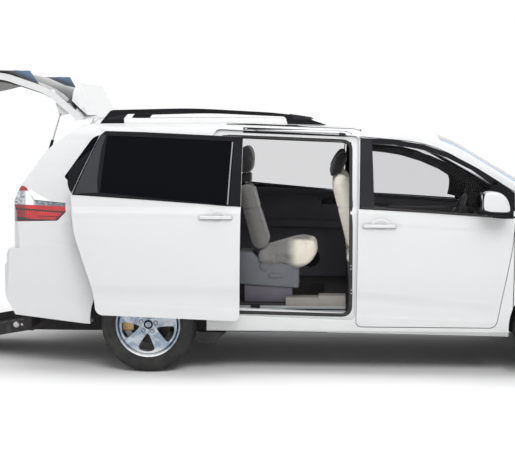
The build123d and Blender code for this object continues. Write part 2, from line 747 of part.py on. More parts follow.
def caliper(axle_x):
    """A brake caliper behind the right-hand axle, astride the disc, with its bracket."""
    with BuildPart() as solid:
        add(block(axle_x - 200, axle_x - 120, -disc_far_y - 34, -disc_far_y - 5, tyre_radius - 52,
                  tyre_radius + 52))
        add(block(axle_x - 200, axle_x - 60, -disc_near_y + 5, -790, tyre_radius - 46, tyre_radius + 46))
        add(block(axle_x - 200, axle_x - disc_radius - 8, -disc_far_y - 34, -790, tyre_radius - 52,
                  tyre_radius + 52))
    return solid.part


# Knuckles: uprights that turn on the arms' ball joints and carry the stub axles and calipers
with BuildPart() as knuckle_right:
    with BuildSketch(Plane.XZ.offset(kingpin_y - 26)):
        with Locations((wheelbase, tyre_radius)):
            Circle(70)
        with Locations((wheelbase, (tyre_radius + ball_joint_z + 40) / 2)):
            Rectangle(58, tyre_radius - ball_joint_z - 40)
    extrude(amount=52)
    with BuildSketch(Plane.XY.offset(ball_joint_z + 28.3)):
        with Locations((wheelbase, -kingpin_y)):
            Circle(24)
    extrude(amount=40)
    with BuildSketch(Plane.XZ.offset(kingpin_y)):
        with Locations((wheelbase, tyre_radius)):
            Circle(stub_radius)
    extrude(amount=128)
    # Caliper behind the axle, astride the disc
    add(caliper(wheelbase))

with BuildPart() as knuckle_left:
    mirror(knuckle_right.part, about=Plane.XZ)

# Rear suspension: trailing arms outside the channel, each with its stub axle and caliper
with BuildPart() as rear_suspension:
    with BuildSketch(Plane.XZ.offset(500)):
        with BuildLine():
            Polyline((560, 372), (520, 290), (60, 290), (-70, 330), (-70, 380), (60, 420), (500, 400),
                     (560, 372))
        make_face()
    extrude(amount=70)
    with BuildSketch(Plane.XZ.offset(570)):
        with Locations((0, tyre_radius)):
            Circle(62)
    extrude(amount=230)
    with BuildSketch(Plane.XZ.offset(800)):
        with Locations((0, tyre_radius)):
            Circle(stub_radius)
    extrude(amount=118)
    add(block(490, 560, -570, -500, 380, cabin_floor - floor_thickness))
    add(caliper(0))
    mirror(about=Plane.XZ)

# Exhaust: a silencer beside the channel with its tail pipe
with BuildPart() as exhaust:
    with BuildSketch(Plane.YZ.offset(700)):
        with Locations((620, 350)):
            RectangleRounded(220, 150, 60)
    extrude(amount=620)
    with BuildSketch(Plane.YZ.offset(1320)):
        with Locations((560, 350)):
            Circle(30)
    extrude(amount=1200)
    add(block(900, 960, 560, 640, 400, cabin_floor - floor_thickness))
    add(block(2400, 2440, 540, 580, 350, cabin_floor - floor_thickness))


# Wheels: modelled about Y with the outer face towards -Y
rim_half = 105
hub_face = 86
with BuildPart() as rim_model:
    with BuildSketch(Plane.YZ):
        with BuildLine():
            Polyline((-rim_half, rim_radius - 16), (-rim_half, rim_radius), (-rim_half + 14, rim_radius),
                     (-rim_half + 24, rim_radius - 14), (rim_half - 24, rim_radius - 14),
                     (rim_half - 14, rim_radius), (rim_half, rim_radius), (rim_half, rim_radius - 16),
                     (rim_half - 26, rim_radius - 26), (-rim_half + 26, rim_radius - 26),
                     (-rim_half, rim_radius - 16))
        make_face()
    revolve(axis=Axis.Y)
    # Five spokes, each a slanted bar that widens towards the barrel
    with BuildPart(mode=Mode.PRIVATE) as spoke:
        with BuildSketch(Plane.YZ):
            with BuildLine():
                Polyline((-hub_face, 50), (-hub_face + 8, 120), (-rim_half + 12, rim_radius - 14),
                         (-rim_half + 50, rim_radius - 16), (-hub_face + 38, 120), (-hub_face + 38, 50),
                         (-hub_face, 50))
            make_face()
        extrude(amount=40, both=True)
        with BuildSketch(Plane.XZ.offset(-20)):
            with BuildLine():
                Polyline((-26, 40), (-22, 110), (-38, 236), (38, 236), (22, 110), (26, 40), (-26, 40))
            make_face()
        extrude(amount=140, mode=Mode.INTERSECT)
    for turn in range(5):
        add(spoke.part.rotate(Axis.Y, 72 * turn))
    # Hub and brake disc
    with BuildSketch(Plane.XZ.offset(hub_face)):
        Circle(74)
    extrude(amount=-hub_face - track / 2 + disc_near_y)
    with BuildSketch(Plane.XZ.offset(disc_far_y - track / 2)):
        Circle(disc_radius)
    extrude(amount=disc_near_y - disc_far_y)
    with BuildSketch(Plane.XZ.offset(69)):
        Circle(stub_radius + 0.05)
    extrude(amount=-140, mode=Mode.SUBTRACT)

tyre_bore = rim_radius + 0.3
with BuildPart() as tyre_model:
    with BuildSketch(Plane.YZ):
        with BuildLine():
            side = Polyline((-94, tyre_bore), (-tyre_width / 2 + 8, tyre_bore + 22))
            ThreePointArc(side @ 1, (-tyre_width / 2, tyre_bore + 52), (-tyre_width / 2 + 8, tyre_radius - 26))
            ThreePointArc((-tyre_width / 2 + 8, tyre_radius - 26), (-tyre_width / 2 + 16, tyre_radius - 10),
                          (-tyre_width / 2 + 34, tyre_radius - 3))
            ThreePointArc((-tyre_width / 2 + 34, tyre_radius - 3), (0, tyre_radius),
                          (tyre_width / 2 - 34, tyre_radius - 3))
            ThreePointArc((tyre_width / 2 - 34, tyre_radius - 3), (tyre_width / 2 - 16, tyre_radius - 10),
                          (tyre_width / 2 - 8, tyre_radius - 26))
            ThreePointArc((tyre_width / 2 - 8, tyre_radius - 26), (tyre_width / 2, tyre_bore + 52),
                          (tyre_width / 2 - 8, tyre_bore + 22))
            Polyline((tyre_width / 2 - 8, tyre_bore + 22), (94, tyre_bore), (-94, tyre_bore))
        make_face()
    revolve(axis=Axis.Y)

# Roof rails, seated on the crowned roof
rail_corners = [(-448, 1780, 5), (-318, 1934, 50), (300, 1948, 4000), (1090, 1904, 1500), (1420, 1780, 5)]
rail_gap_corners = [(-210, 1700, 5), (-226, 1902, 30), (300, 1916, 4000), (1000, 1884, 30), (1050, 1700, 5)]
rail_y, rail_width = 602, 34
with BuildPart() as roof_rails:
    add(side_prism(rail_corners, near=rail_y, far=rail_y + rail_width))
    add(side_prism(rail_gap_corners, near=rail_y, far=rail_y + rail_width), mode=Mode.SUBTRACT)
    add(outer_form, mode=Mode.SUBTRACT)
    mirror(about=Plane.XZ)

# Door mirrors on their black corner plates
with BuildPart() as mirror_right:
    with Locations((2508, -1112, 1284)):
        Box(176, 206, 142)
    fillet(mirror_right.edges().filter_by(Axis.Y), 44)
    add(block(2520, 2584, -1040, -925, 1222, 1262))
    add(skin_layer.part.intersect(side_prism(inset_corners(mirror_sail_corners, 0.3))))

with BuildPart() as mirror_left:
    mirror(mirror_right.part, about=Plane.XZ)

# Instrument panel and steering wheel
with BuildPart() as instrument_panel:
    with BuildSketch(Plane.XZ.offset(-856)):
        make_face(outline([(2600, 800, 50), (2530, 1000, 60), (2600, 1110, 60), (2800, 1150, 300),
                           (firewall_x, 1120, 5), (firewall_x, 790, 5)]))
    extrude(amount=1712)

wheel_centre = (2372, 420, 1070)
column_plane = Plane(origin=wheel_centre, x_dir=(0, 1, 0), z_dir=(-0.9, 0, 0.436))
with BuildPart() as steering_wheel:
    with Locations(column_plane.location):
        Torus(184, 15)
        Cylinder(52, 44)
        Box(40, 350, 20)
    with BuildSketch(column_plane):
        Circle(30)
    extrude(amount=-200)
    add(instrument_panel.part, mode=Mode.SUBTRACT)

# Seats: plain closed forms of base, cushion, back and head restraint
# x, z of the cushion's front and rear top, the back's foot and head, the head restraint's middle
def seat(y, width, cushion, back, head, base):
    """A seat of the given width about y, from its side outlines."""
    half = width / 2
    with BuildPart() as solid:
        for corners, half_y in ((cushion, half), (back, half - 12), (head, 130), (base, half - 60)):
            with BuildSketch(Plane.XZ.offset(-y - half_y)):
                make_face(outline(corners))
            extrude(amount=2 * half_y)
    return solid.part


front_seat_y = 452
front_cushion = [(1440, 780, 30), (1440, 880, 40), (1960, 925, 60), (1950, 790, 40)]
front_back = [(1480, 860, 40), (1346, 1410, 50), (1372, 1472, 40), (1460, 1476, 40), (1610, 890, 40)]
front_head = [(1318, 1420, 20), (1380, 1606, 40), (1448, 1640, 40), (1474, 1600, 30), (1424, 1450, 30)]
front_base = [(1480, cabin_floor, 5), (1460, 782, 5), (1900, 792, 5), (1860, cabin_floor, 5)]
rear_seat_y = 640
rear_cushion = [(800, 800, 40), (790, 905, 30), (1250, 985, 50), (1225, 790, 60)]
rear_back = [(772, 880, 40), (640, 1390, 60), (760, 1420, 60), (900, 900, 30)]
rear_head = [(672, 1440, 20), (664, 1640, 50), (776, 1660, 50), (780, 1450, 20)]
rear_base = [(690, cabin_floor, 5), (810, 810, 5), (1150, 800, 5), (1110, cabin_floor, 5)]
post_radius = 7
with BuildPart() as front_seats:
    add(seat(-front_seat_y, 500, front_cushion, front_back, front_head, front_base))
    for y in (-front_seat_y - 70, -front_seat_y + 70):
        with Locations((1396, y, 1470)):
            Cylinder(post_radius, 60)
    mirror(about=Plane.XZ)

with BuildPart() as rear_seat:
    add(seat(-rear_seat_y, 420, rear_cushion, rear_back, rear_head, rear_base))
    for y in (-rear_seat_y - 60, -rear_seat_y + 60):
        with Locations((722, y, 1430)):
            Cylinder(post_radius, 60)

# Every piece moves so that the origin lies on the ground under the middle of the length
rear_reach = ramp_hinge_x - ramp_reach * cos(asin(ramp_hinge_z / ramp_reach))
origin_x = (rear_reach + outer_form.bounding_box().max.X) / 2
pieces = {
    "body_side_right": body_side_right, "body_side_left": body_side_left, "roof": roof,
    "windshield": windshield, "cowl": cowl, "hood": hood, "fender_right": fender_right,
    "fender_left": fender_left, "front_bumper": front_bumper, "rear_bumper": rear_bumper,
    "grille": grille, "front_door_right": front_door_right, "front_door_left": front_door_left,
    "sliding_door_right": sliding_door_right, "sliding_door_left": sliding_door_left,
    "front_door_glass_right": front_door_glass_right, "front_door_glass_left": front_door_glass_left,
    "sliding_door_glass_right": sliding_door_glass_right,
    "sliding_door_glass_left": sliding_door_glass_left, "quarter_glass": quarter_glass,
    "tail_lamps": tail_lamps, "headlamps": headlamps, "tailgate": tailgate,
    "tailgate_glass": tailgate_glass, "stay_tubes": stay_tubes, "stay_rods": stay_rods,
    "floor": floor, "ramp": ramp, "front_structure": front_structure, "engine": engine,
    "front_subframe": front_subframe, "knuckle_right": knuckle_right, "knuckle_left": knuckle_left,
    "rear_suspension": rear_suspension, "exhaust": exhaust, "roof_rails": roof_rails,
    "mirror_right": mirror_right, "mirror_left": mirror_left, "instrument_panel": instrument_panel,
    "steering_wheel": steering_wheel, "front_seats": front_seats, "rear_seat": rear_seat,
}
for end, x in (("front", wheelbase), ("rear", 0)):
    for flank, side in (("right", -1), ("left", 1)):
        place = Location((x, side * track / 2, tyre_radius), (0, 0, 0 if side < 0 else 180))
        for kind, model in (("rim", rim_model), ("tyre", tyre_model)):
            with BuildPart() as wheel_piece:
                add(model.part.moved(place))
            pieces[f"{kind}_{end}_{flank}"] = wheel_piece
for label, piece in pieces.items():
    placed = piece.part.moved(Location((-origin_x, 0, 0)))
    placed.label = label
    export_step(placed, f"parts/{label}.step")
print("origin moved forward from the rear axle by", round(origin_x, 3))
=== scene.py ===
import math

import bmesh
import bpy
from mathutils import Matrix, Vector
from mathutils.bvhtree import BVHTree


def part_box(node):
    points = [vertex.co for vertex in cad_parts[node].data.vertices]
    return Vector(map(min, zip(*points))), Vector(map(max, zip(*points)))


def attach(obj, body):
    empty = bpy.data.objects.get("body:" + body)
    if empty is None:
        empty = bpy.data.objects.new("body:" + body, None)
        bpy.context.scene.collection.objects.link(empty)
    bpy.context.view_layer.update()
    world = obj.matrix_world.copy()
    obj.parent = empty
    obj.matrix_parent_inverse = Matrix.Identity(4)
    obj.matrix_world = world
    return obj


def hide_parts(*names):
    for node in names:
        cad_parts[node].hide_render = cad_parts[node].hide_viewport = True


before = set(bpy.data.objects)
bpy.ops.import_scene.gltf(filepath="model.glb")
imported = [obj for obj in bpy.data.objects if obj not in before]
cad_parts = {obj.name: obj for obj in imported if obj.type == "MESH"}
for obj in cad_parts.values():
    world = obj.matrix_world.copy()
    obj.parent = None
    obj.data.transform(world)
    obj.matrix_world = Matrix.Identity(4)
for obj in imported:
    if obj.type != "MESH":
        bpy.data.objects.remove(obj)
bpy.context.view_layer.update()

# Painted panels: pressed steel skins in white gloss, each hung or welded at its seams. The CAD
# shapes stay, and creases in the enamel's relief sharpen their pressed lines.


def operator(operation, swapped=False):
    """A method that puts a Math node on a socket, with another socket or a number if need be."""
    def apply(first, *second):
        inputs = (*second, first) if swapped else (first, *second)
        return first.graph.add("ShaderNodeMath", {"operation": operation}, dict(enumerate(inputs)))
    return apply


class Sock:
    """A shader socket that adds Math nodes where it stands in an expression."""

    def __init__(self, graph, value):
        self.graph = graph
        self.value = value

    __add__, __radd__ = operator("ADD"), operator("ADD", True)
    __sub__, __rsub__ = operator("SUBTRACT"), operator("SUBTRACT", True)
    __mul__, __rmul__ = operator("MULTIPLY"), operator("MULTIPLY", True)
    __gt__, __lt__ = operator("GREATER_THAN"), operator("LESS_THAN")
    __abs__, at_least, at_most = operator("ABSOLUTE"), operator("MAXIMUM"), operator("MINIMUM")


class Graph:
    """The node tree of one new material, with its Principled shader ready."""

    def __init__(self, name, **constants):
        self.material = bpy.data.materials.new(name)
        self.material.use_nodes = True
        self.tree = self.material.node_tree
        self.shader = self.tree.nodes["Principled BSDF"]
        for socket, value in constants.items():
            self.shader.inputs[socket.replace("_", " ")].default_value = value

    def add(self, kind, settings=None, inputs=None, output=0):
        node = self.tree.nodes.new(kind)
        for key, value in (settings or {}).items():
            if key == "stops":
                for stop, (place, color) in enumerate(value):
                    ramp = node.color_ramp.elements
                    element = ramp[stop] if stop < 2 else ramp.new(place)
                    element.position = place
                    element.color = color
            else:
                setattr(node, key, value)
        for key, value in (inputs or {}).items():
            self.link(value, node.inputs[key])
        return Sock(self, node.outputs[output])

    def link(self, value, socket):
        if isinstance(value, Sock):
            self.tree.links.new(value.value, socket)
        else:
            socket.default_value = value

    def place(self):
        return self.add("ShaderNodeTexCoord", output="Object")

    def axis(self, letter):
        return self.add("ShaderNodeSeparateXYZ", None, {0: self.place()}, output=letter)

    def noise(self, scale, detail=3.0, **more):
        return self.add("ShaderNodeTexNoise", {"normalize": True},
                        {"Vector": self.place(), "Scale": scale, "Detail": detail, **more})

    def cells(self, scale):
        return self.add("ShaderNodeTexVoronoi", None, {"Vector": self.place(), "Scale": scale})

    def waves(self, direction, scale, **more):
        return self.add("ShaderNodeTexWave", {"bands_direction": direction},
                        {"Vector": self.place(), "Scale": scale, **more})

    def ramp(self, factor, *stops):
        return self.add("ShaderNodeValToRGB", {"stops": stops}, {"Fac": factor})

    def bump(self, height, strength, distance):
        return self.add("ShaderNodeBump", None,
                        {"Height": height, "Strength": strength, "Distance": distance})

    def set(self, **links):
        for socket, value in links.items():
            self.link(value, self.shader.inputs[socket.replace("_", " ")])
        return self.material


def weathered(graph, scale=3.0, low=0.3, high=0.42):
    """Road dust and handling: the gloss drifts a little from place to place."""
    return graph.ramp(graph.noise(scale, 5.0), (0.35, (low, low, low, 1)), (0.7, (high, high, high, 1)))


def step_up(value, start, end):
    """0 before start, 1 after end, and a smooth rise between them."""
    return value.graph.add("ShaderNodeMapRange", {"interpolation_type": "SMOOTHSTEP"},
                           {"Value": value, "From Min": start, "From Max": end})


def mixed(factor, first, second):
    """One colour laid over another by a factor."""
    return factor.graph.add("ShaderNodeMix", {"data_type": "RGBA"},
                            {"Factor": factor, 6: first, 7: second}, output=2)


def white_paint(name, *creases, lined=True):
    """Body enamel under clear lacquer. A crease is (x at its start, z there, x and z at its end,
    width, depth), and turns the light as the pressed line does. Faces towards the cabin or the
    ground are lined in dark trim and underseal; towards the cabin this near-black is also painted
    shade, for the shaded inside of the body."""
    graph = Graph(name, Coat_Roughness=0.04, Coat_IOR=1.5)
    x, y, z = graph.axis(0), graph.axis(1), graph.axis(2)
    facing = graph.add("ShaderNodeTexCoord", output="Normal")
    towards = [graph.add("ShaderNodeSeparateXYZ", None, {0: facing}, output=axis) for axis in (1, 2)]
    inward, downward, orange_peel = 0.30, -0.72, 0.004
    inside = ((y * towards[0]) * -1 > inward) + (towards[1] < downward)
    inside = inside.at_most(1.0 if lined else 0.0)
    height = graph.noise(900.0, 1.0) * orange_peel
    for x0, z0, x1, z1, width, depth in creases:
        slope = (z1 - z0) / (x1 - x0)
        fold = step_up(z - (x - x0) * slope - z0, -width / 2, width / 2)
        fade = step_up(x, x0 - 0.12, x0 + 0.03) * (1 - step_up(x, x1 - 0.05, x1 + 0.12))
        height = height + fold * fade * depth
    # The enamel is darker towards the bottom.
    low_darkening = step_up(z + graph.noise(7.0) * 0.25, 0.30, 0.62)
    color = mixed(low_darkening, (0.78, 0.785, 0.785, 1), (0.86, 0.868, 0.875, 1))
    # Dark trim and underseal colour, which on faces towards the cabin is also painted shade.
    lining = mixed(graph.noise(12.0), (0.016, 0.016, 0.018, 1), (0.030, 0.029, 0.031, 1))
    return graph.set(Base_Color=mixed(inside, color, lining), Coat_Weight=1 - inside,
                     Roughness=mixed(inside, weathered(graph), (0.75, 0.75, 0.75, 1)),
                     Normal=graph.bump(height, 1.0, 1.0))


def finish_node(material, *names):
    """A CAD node that keeps its shape takes a worked finish."""
    for name in names:
        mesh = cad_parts[name].data
        mesh.materials.clear()
        mesh.materials.append(material)


paint = white_paint("white_enamel")
front_door_paint = white_paint(
    "white_enamel_front_door", (0.66, 1.112, 1.80, 1.052, 0.035, 0.006),
    (0.60, 0.592, 1.62, 0.488, 0.09, 0.018), (0.60, 0.440, 1.70, 0.400, 0.03, -0.012))
slide_paint = white_paint(
    "white_enamel_sliding_door", (-1.45, 1.165, -0.17, 1.160, 0.035, 0.005),
    (-1.25, 0.632, -0.17, 0.628, 0.09, 0.016), (-1.25, 0.540, -0.17, 0.492, 0.03, -0.010))
slide_paint_left = white_paint(
    "white_enamel_far_door", (-0.62, 1.142, 0.66, 1.112, 0.035, 0.005),
    (-0.42, 0.625, 0.66, 0.600, 0.10, 0.009), (-0.42, 0.500, 0.66, 0.450, 0.02, -0.005))
quarter_paint = white_paint(
    "white_enamel_quarter", (-1.86, 0.949, -1.43, 0.936, 0.02, -0.004),
    (-1.62, 1.09, -0.62, 1.145, 0.045, 0.005))
gate_paint = white_paint("white_enamel_tailgate", lined=False)
finish_node(paint, "roof", "hood", "fender_right", "fender_left", "front_bumper", "rear_bumper",
            "mirror_right", "mirror_left")
finish_node(gate_paint, "tailgate")
finish_node(quarter_paint, "body_side_right", "body_side_left")
finish_node(front_door_paint, "front_door_right", "front_door_left")
finish_node(slide_paint, "sliding_door_right")
finish_node(slide_paint_left, "sliding_door_left")

# Glass: tempered panes bonded or dropped into the doors. The front panes, the windshield and the
# left sliding door's pane are lightly tinted, and all others are dark privacy glass.


def window_glass(name, tint):
    """A pane that is seen through, under a thin film of dust."""
    graph = Graph(name, Base_Color=tint, IOR=1.15, Transmission_Weight=1.0)
    return graph.set(Roughness=graph.noise(2.2, 4.0) * 0.02)


clear_glass = window_glass("clear_window_glass", (0.80, 0.80, 0.81, 1))
shaded_glass = window_glass("shaded_window_glass", (0.70, 0.70, 0.71, 1))
graph = Graph("privacy_glass", Base_Color=(0.0025, 0.0028, 0.0045, 1), IOR=1.5, Specular_IOR_Level=0.05)
privacy_glass = graph.set(Roughness=graph.noise(2.0, 4.0) * 0.05 + 0.04)
finish_node(clear_glass, "windshield", "front_door_glass_right", "front_door_glass_left")
finish_node(shaded_glass, "sliding_door_glass_left")
finish_node(privacy_glass, "sliding_door_glass_right", "quarter_glass", "tailgate_glass")

# Black window surrounds: extruded and moulded trim pressed over the door frames, which makes the
# side glass read as one dark band from the mirror to the tail.
wheel_low, wheel_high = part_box("tyre_rear_right")
axle_x = (wheel_low.x + wheel_high.x) / 2
hands = ((-1, "right"), (1, "left"))
door_slide = 0.830
flank_trees = {}


def skin_tree(*nodes, turn=Matrix()):
    """One skin of some nodes, turned as a whole, to search for the places of parts laid on it."""
    verts, faces = [], []
    for node in nodes:
        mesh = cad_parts[node].data
        faces += [[k + len(verts) for k in p.vertices] for p in mesh.polygons]
        verts += [turn @ v.co for v in mesh.vertices]
    return BVHTree.FromPolygons(verts, faces)


def flank_at(node, x, z, side):
    """How far out the skin of a node lies at a place on the flank. A mirror's skin is that of its
    corner plate, inboard of the shell. A ray that misses is sent again from rings round it."""
    far = 0.985 if node.startswith("mirror") else 3
    if node not in flank_trees:
        flank_trees[node] = skin_tree(node)
    for reach in (0.0, 0.006, 0.014, 0.03, 0.06):
        angles = [a * math.pi / 4 for a in range(8 if reach else 1)]
        starts = [Vector((x + reach * math.cos(angle), side * far, z + reach * math.sin(angle)))
                  for angle in angles]
        hits = [flank_trees[node].ray_cast(start, Vector((0, -side, 0)))[0] for start in starts]
        found = [hit.y for hit in hits if hit is not None]
        if found:
            return max(found, key=abs)
    return flank_trees[node].find_nearest(Vector((x, side * 1.0, z)))[0].y


def placed(name, data):
    """A new object in the scene."""
    thing = bpy.data.objects.new(name, data)
    bpy.context.scene.collection.objects.link(thing)
    return thing


def rounded(piece, levels):
    """Subdivision smooths a coarse piece."""
    rounding = piece.modifiers.new("rounding", "SUBSURF")
    rounding.levels = rounding.render_levels = levels


def made(form, name, body, material, bevel=0.0, smooth=35, levels=0):
    """A finished piece from a bmesh: closed, turned outwards, smoothed and riding on its body."""
    bmesh.ops.remove_doubles(form, verts=form.verts, dist=1e-5)
    bmesh.ops.recalc_face_normals(form, faces=form.faces)
    mesh = bpy.data.meshes.new(name)
    form.to_mesh(mesh)
    form.free()
    mesh.polygons.foreach_set("use_smooth", [True] * len(mesh.polygons))
    mesh.set_sharp_from_angle(angle=math.radians(smooth))
    mesh.materials.append(material)
    piece = placed(name, mesh)
    if bevel:
        edge = piece.modifiers.new("edge", "BEVEL")
        edge.width, edge.segments, edge.limit_method = bevel, 2, "ANGLE"
        edge.harden_normals = True
    if levels:
        rounded(piece, levels)
    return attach(piece, body)


def flat_face(form, corners, y=0.0):
    """One face through corners (x, z) in an upright plane along the van."""
    return form.faces.new([form.verts.new((x, y, z)) for x, z in corners])


def cut_up(form, spacing, axes=(0, 2)):
    """Cuts a form along even planes, so that it can follow a curved panel."""
    for axis in axes:
        places = [v.co[axis] for v in form.verts]
        place = min(places) + spacing
        while place < max(places) - 1e-4:
            middle, normal = Vector((0, 0, 0)), Vector((0, 0, 0))
            middle[axis], normal[axis] = place, 1
            bmesh.ops.bisect_plane(form, geom=form.verts[:] + form.edges[:] + form.faces[:],
                                   plane_co=middle, plane_no=normal, dist=1e-6)
            place += spacing


def drawn_out(form, vec=(0, 0, 0)):
    """Draws all faces out along a vector, and returns the corners of the new side."""
    new = bmesh.ops.extrude_face_region(form, geom=form.faces[:])["geom"]
    corners = [v for v in new if isinstance(v, bmesh.types.BMVert)]
    bmesh.ops.translate(form, vec=vec, verts=corners)
    return corners


def pierced(form):
    """Turns two faces, an outline and a hole in it, into the band between them."""
    edges = [e for f in form.faces for e in f.edges]
    bmesh.ops.delete(form, geom=form.faces[:], context="FACES_ONLY")
    bmesh.ops.bridge_loops(form, edges=edges)


def laid_on(name, node, side, corners, body, material, proud=0.002, depth=0.004, spacing=0.05,
            bevel=0.0, hole=None):
    """A moulding cut to an outline and laid on the flank. It follows the skin of its node, proud
    of it by a little, and is cut at an even spacing so that it can bend with it. In the tables
    below, a fit is proud, depth, spacing and bevel."""
    form = bmesh.new()
    flat_face(form, corners)
    if hole:
        flat_face(form, hole)
        pierced(form)
    cut_up(form, spacing)
    if not hole:
        bmesh.ops.dissolve_degenerate(form, edges=form.edges, dist=1e-5)
    raised = set(drawn_out(form))
    for vert in form.verts:
        skin = flank_at(node, vert.co.x, vert.co.z, side)
        vert.co.y = skin + side * (proud if vert in raised else proud - depth)
    return made(form, name, body, material, bevel)


def moved(corners, shift):
    """An outline (x, z) moved along the van."""
    return [(x + shift, z) for x, z in corners]


def soften(form, width, segments=3, fold=None):
    """Rounds every edge, or only those that fold by more than an angle."""
    edges = [e for e in form.edges if fold is None or e.calc_face_angle(0) > fold]
    bmesh.ops.bevel(form, geom=edges, offset=width, offset_type="OFFSET", affect="EDGES",
                    segments=segments, profile=0.5, material=-1)


def worn(name, dark, light, patches, gloss, grain=None, cells=None, **constants):
    """A plain material. Patches of (scale, detail) run from dark to light, with two more numbers
    to set where they begin and end. The gloss drifts by (scale, low, high). The relief is a grain
    of (scale, detail, strength, distance), or cells of (scale, strength, distance)."""
    graph = Graph(name, **constants)
    factor = graph.noise(*patches[:2])
    if len(patches) == 4:
        factor = graph.ramp(factor, (patches[2], (0, 0, 0, 1)), (patches[3], (1, 1, 1, 1)))
    relief = {}
    if grain:
        relief["Normal"] = graph.bump(graph.noise(*grain[:2]), *grain[2:])
    elif cells:
        relief["Normal"] = graph.bump(graph.cells(cells[0]), *cells[1:])
    return graph.set(Base_Color=mixed(factor, (*dark, 1), (*light, 1)),
                     Roughness=weathered(graph, *gloss), **relief)


satin_black = worn("satin_black_trim", (0.007, 0.007, 0.009), (0.014, 0.014, 0.017), (4.0, 4.0),
                   (6.0, 0.34, 0.5), (1400.0, 2.0, 0.15, 0.0004), IOR=1.5, Specular_IOR_Level=0.12)
gloss_black = worn("gloss_black_trim", (0.012, 0.012, 0.015), (0.02, 0.02, 0.024), (5.0, 3.0),
                   (5.0, 0.16, 0.26), Specular_IOR_Level=0.25)
pillar_grey = worn("pillar_grey_trim", (0.026, 0.027, 0.030), (0.042, 0.043, 0.047), (5.0, 4.0),
                   (6.0, 0.34, 0.5), Specular_IOR_Level=0.3)
bead_grey = worn("bead_grey_trim", (0.22, 0.23, 0.24), (0.30, 0.31, 0.32), (9.0, 4.0),
                 (12.0, 0.4, 0.55), Specular_IOR_Level=0.4)
rubber = worn("rubber_seal", (0.012, 0.012, 0.012), (0.035, 0.034, 0.033), (20.0, 4.0),
              (15.0, 0.55, 0.8), (700.0, 3.0, 0.3, 0.0005))
# The border's blue is a painted reflection of the sky on black print.
graph = Graph("painted_reflection_border", Specular_IOR_Level=0.08)
border_reflection = graph.set(
    Base_Color=mixed(graph.noise(3.0, 3.0), (0.14, 0.31, 0.58, 1), (0.24, 0.43, 0.68, 1)),
    Roughness=graph.noise(4.0) * 0.04 + 0.20)
pane_rear = min(v.co.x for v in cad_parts["windshield"].data.vertices)
windshield_tree = skin_tree("windshield")


def pane_height(x, y):
    """Height of the windshield's outer face over a place, or None beside it."""
    hit = windshield_tree.ray_cast(Vector((x, y, 3)), Vector((0, 0, -1)))[0]
    return hit.z if hit else None


surround_edge = [(1.527, 1.236), (1.533, 1.730), (1.524, 1.736), (1.10, 1.757), (0.80, 1.771),
                 (0.518, 1.779), (0.486, 1.752), (0.460, 1.702), (0.382, 1.522), (0.305, 1.346),
                 (0.296, 1.318), (0.80, 1.286)]
glass_edge = [(1.445, 1.247), (1.473, 1.698), (1.466, 1.704), (1.10, 1.720), (0.80, 1.735),
              (0.545, 1.7455), (0.535, 1.742), (0.5315, 1.702), (0.518, 1.522), (0.504, 1.346),
              (0.503, 1.334), (0.80, 1.305)]
bead = [(1.428, 1.252), (1.437, 1.252), (1.463, 1.700), (1.454, 1.700)]
pillar_cover = [(0.312, 1.325), (0.486, 1.334), (0.480, 1.427), (0.497, 1.643), (0.522, 1.748),
                (0.497, 1.752), (0.468, 1.702), (0.392, 1.522)]
for side, node, slid in ((-1, "sliding_door_right", -door_slide), (1, "sliding_door_left", 0.0)):
    shift = axle_x + slid
    laid_on(f"window_surround_{node}", node, side, moved(surround_edge, shift), "body", satin_black, 0.003,
            0.005, 0.06, 0.001, hole=moved(glass_edge, shift))
    # The pale bead that holds the pane's front edge, and the charcoal cover of the rear pillar
    laid_on(f"window_bead_{node}", node.replace("door", "door_glass"), side, moved(bead, shift), "body",
            bead_grey, 0.0015, 0.003, 0.1)
    laid_on(f"rear_pillar_cover_{node}", node, side, moved(pillar_cover, shift), "body", pillar_grey, 0.0042,
            0.004, 0.06, 0.0012)
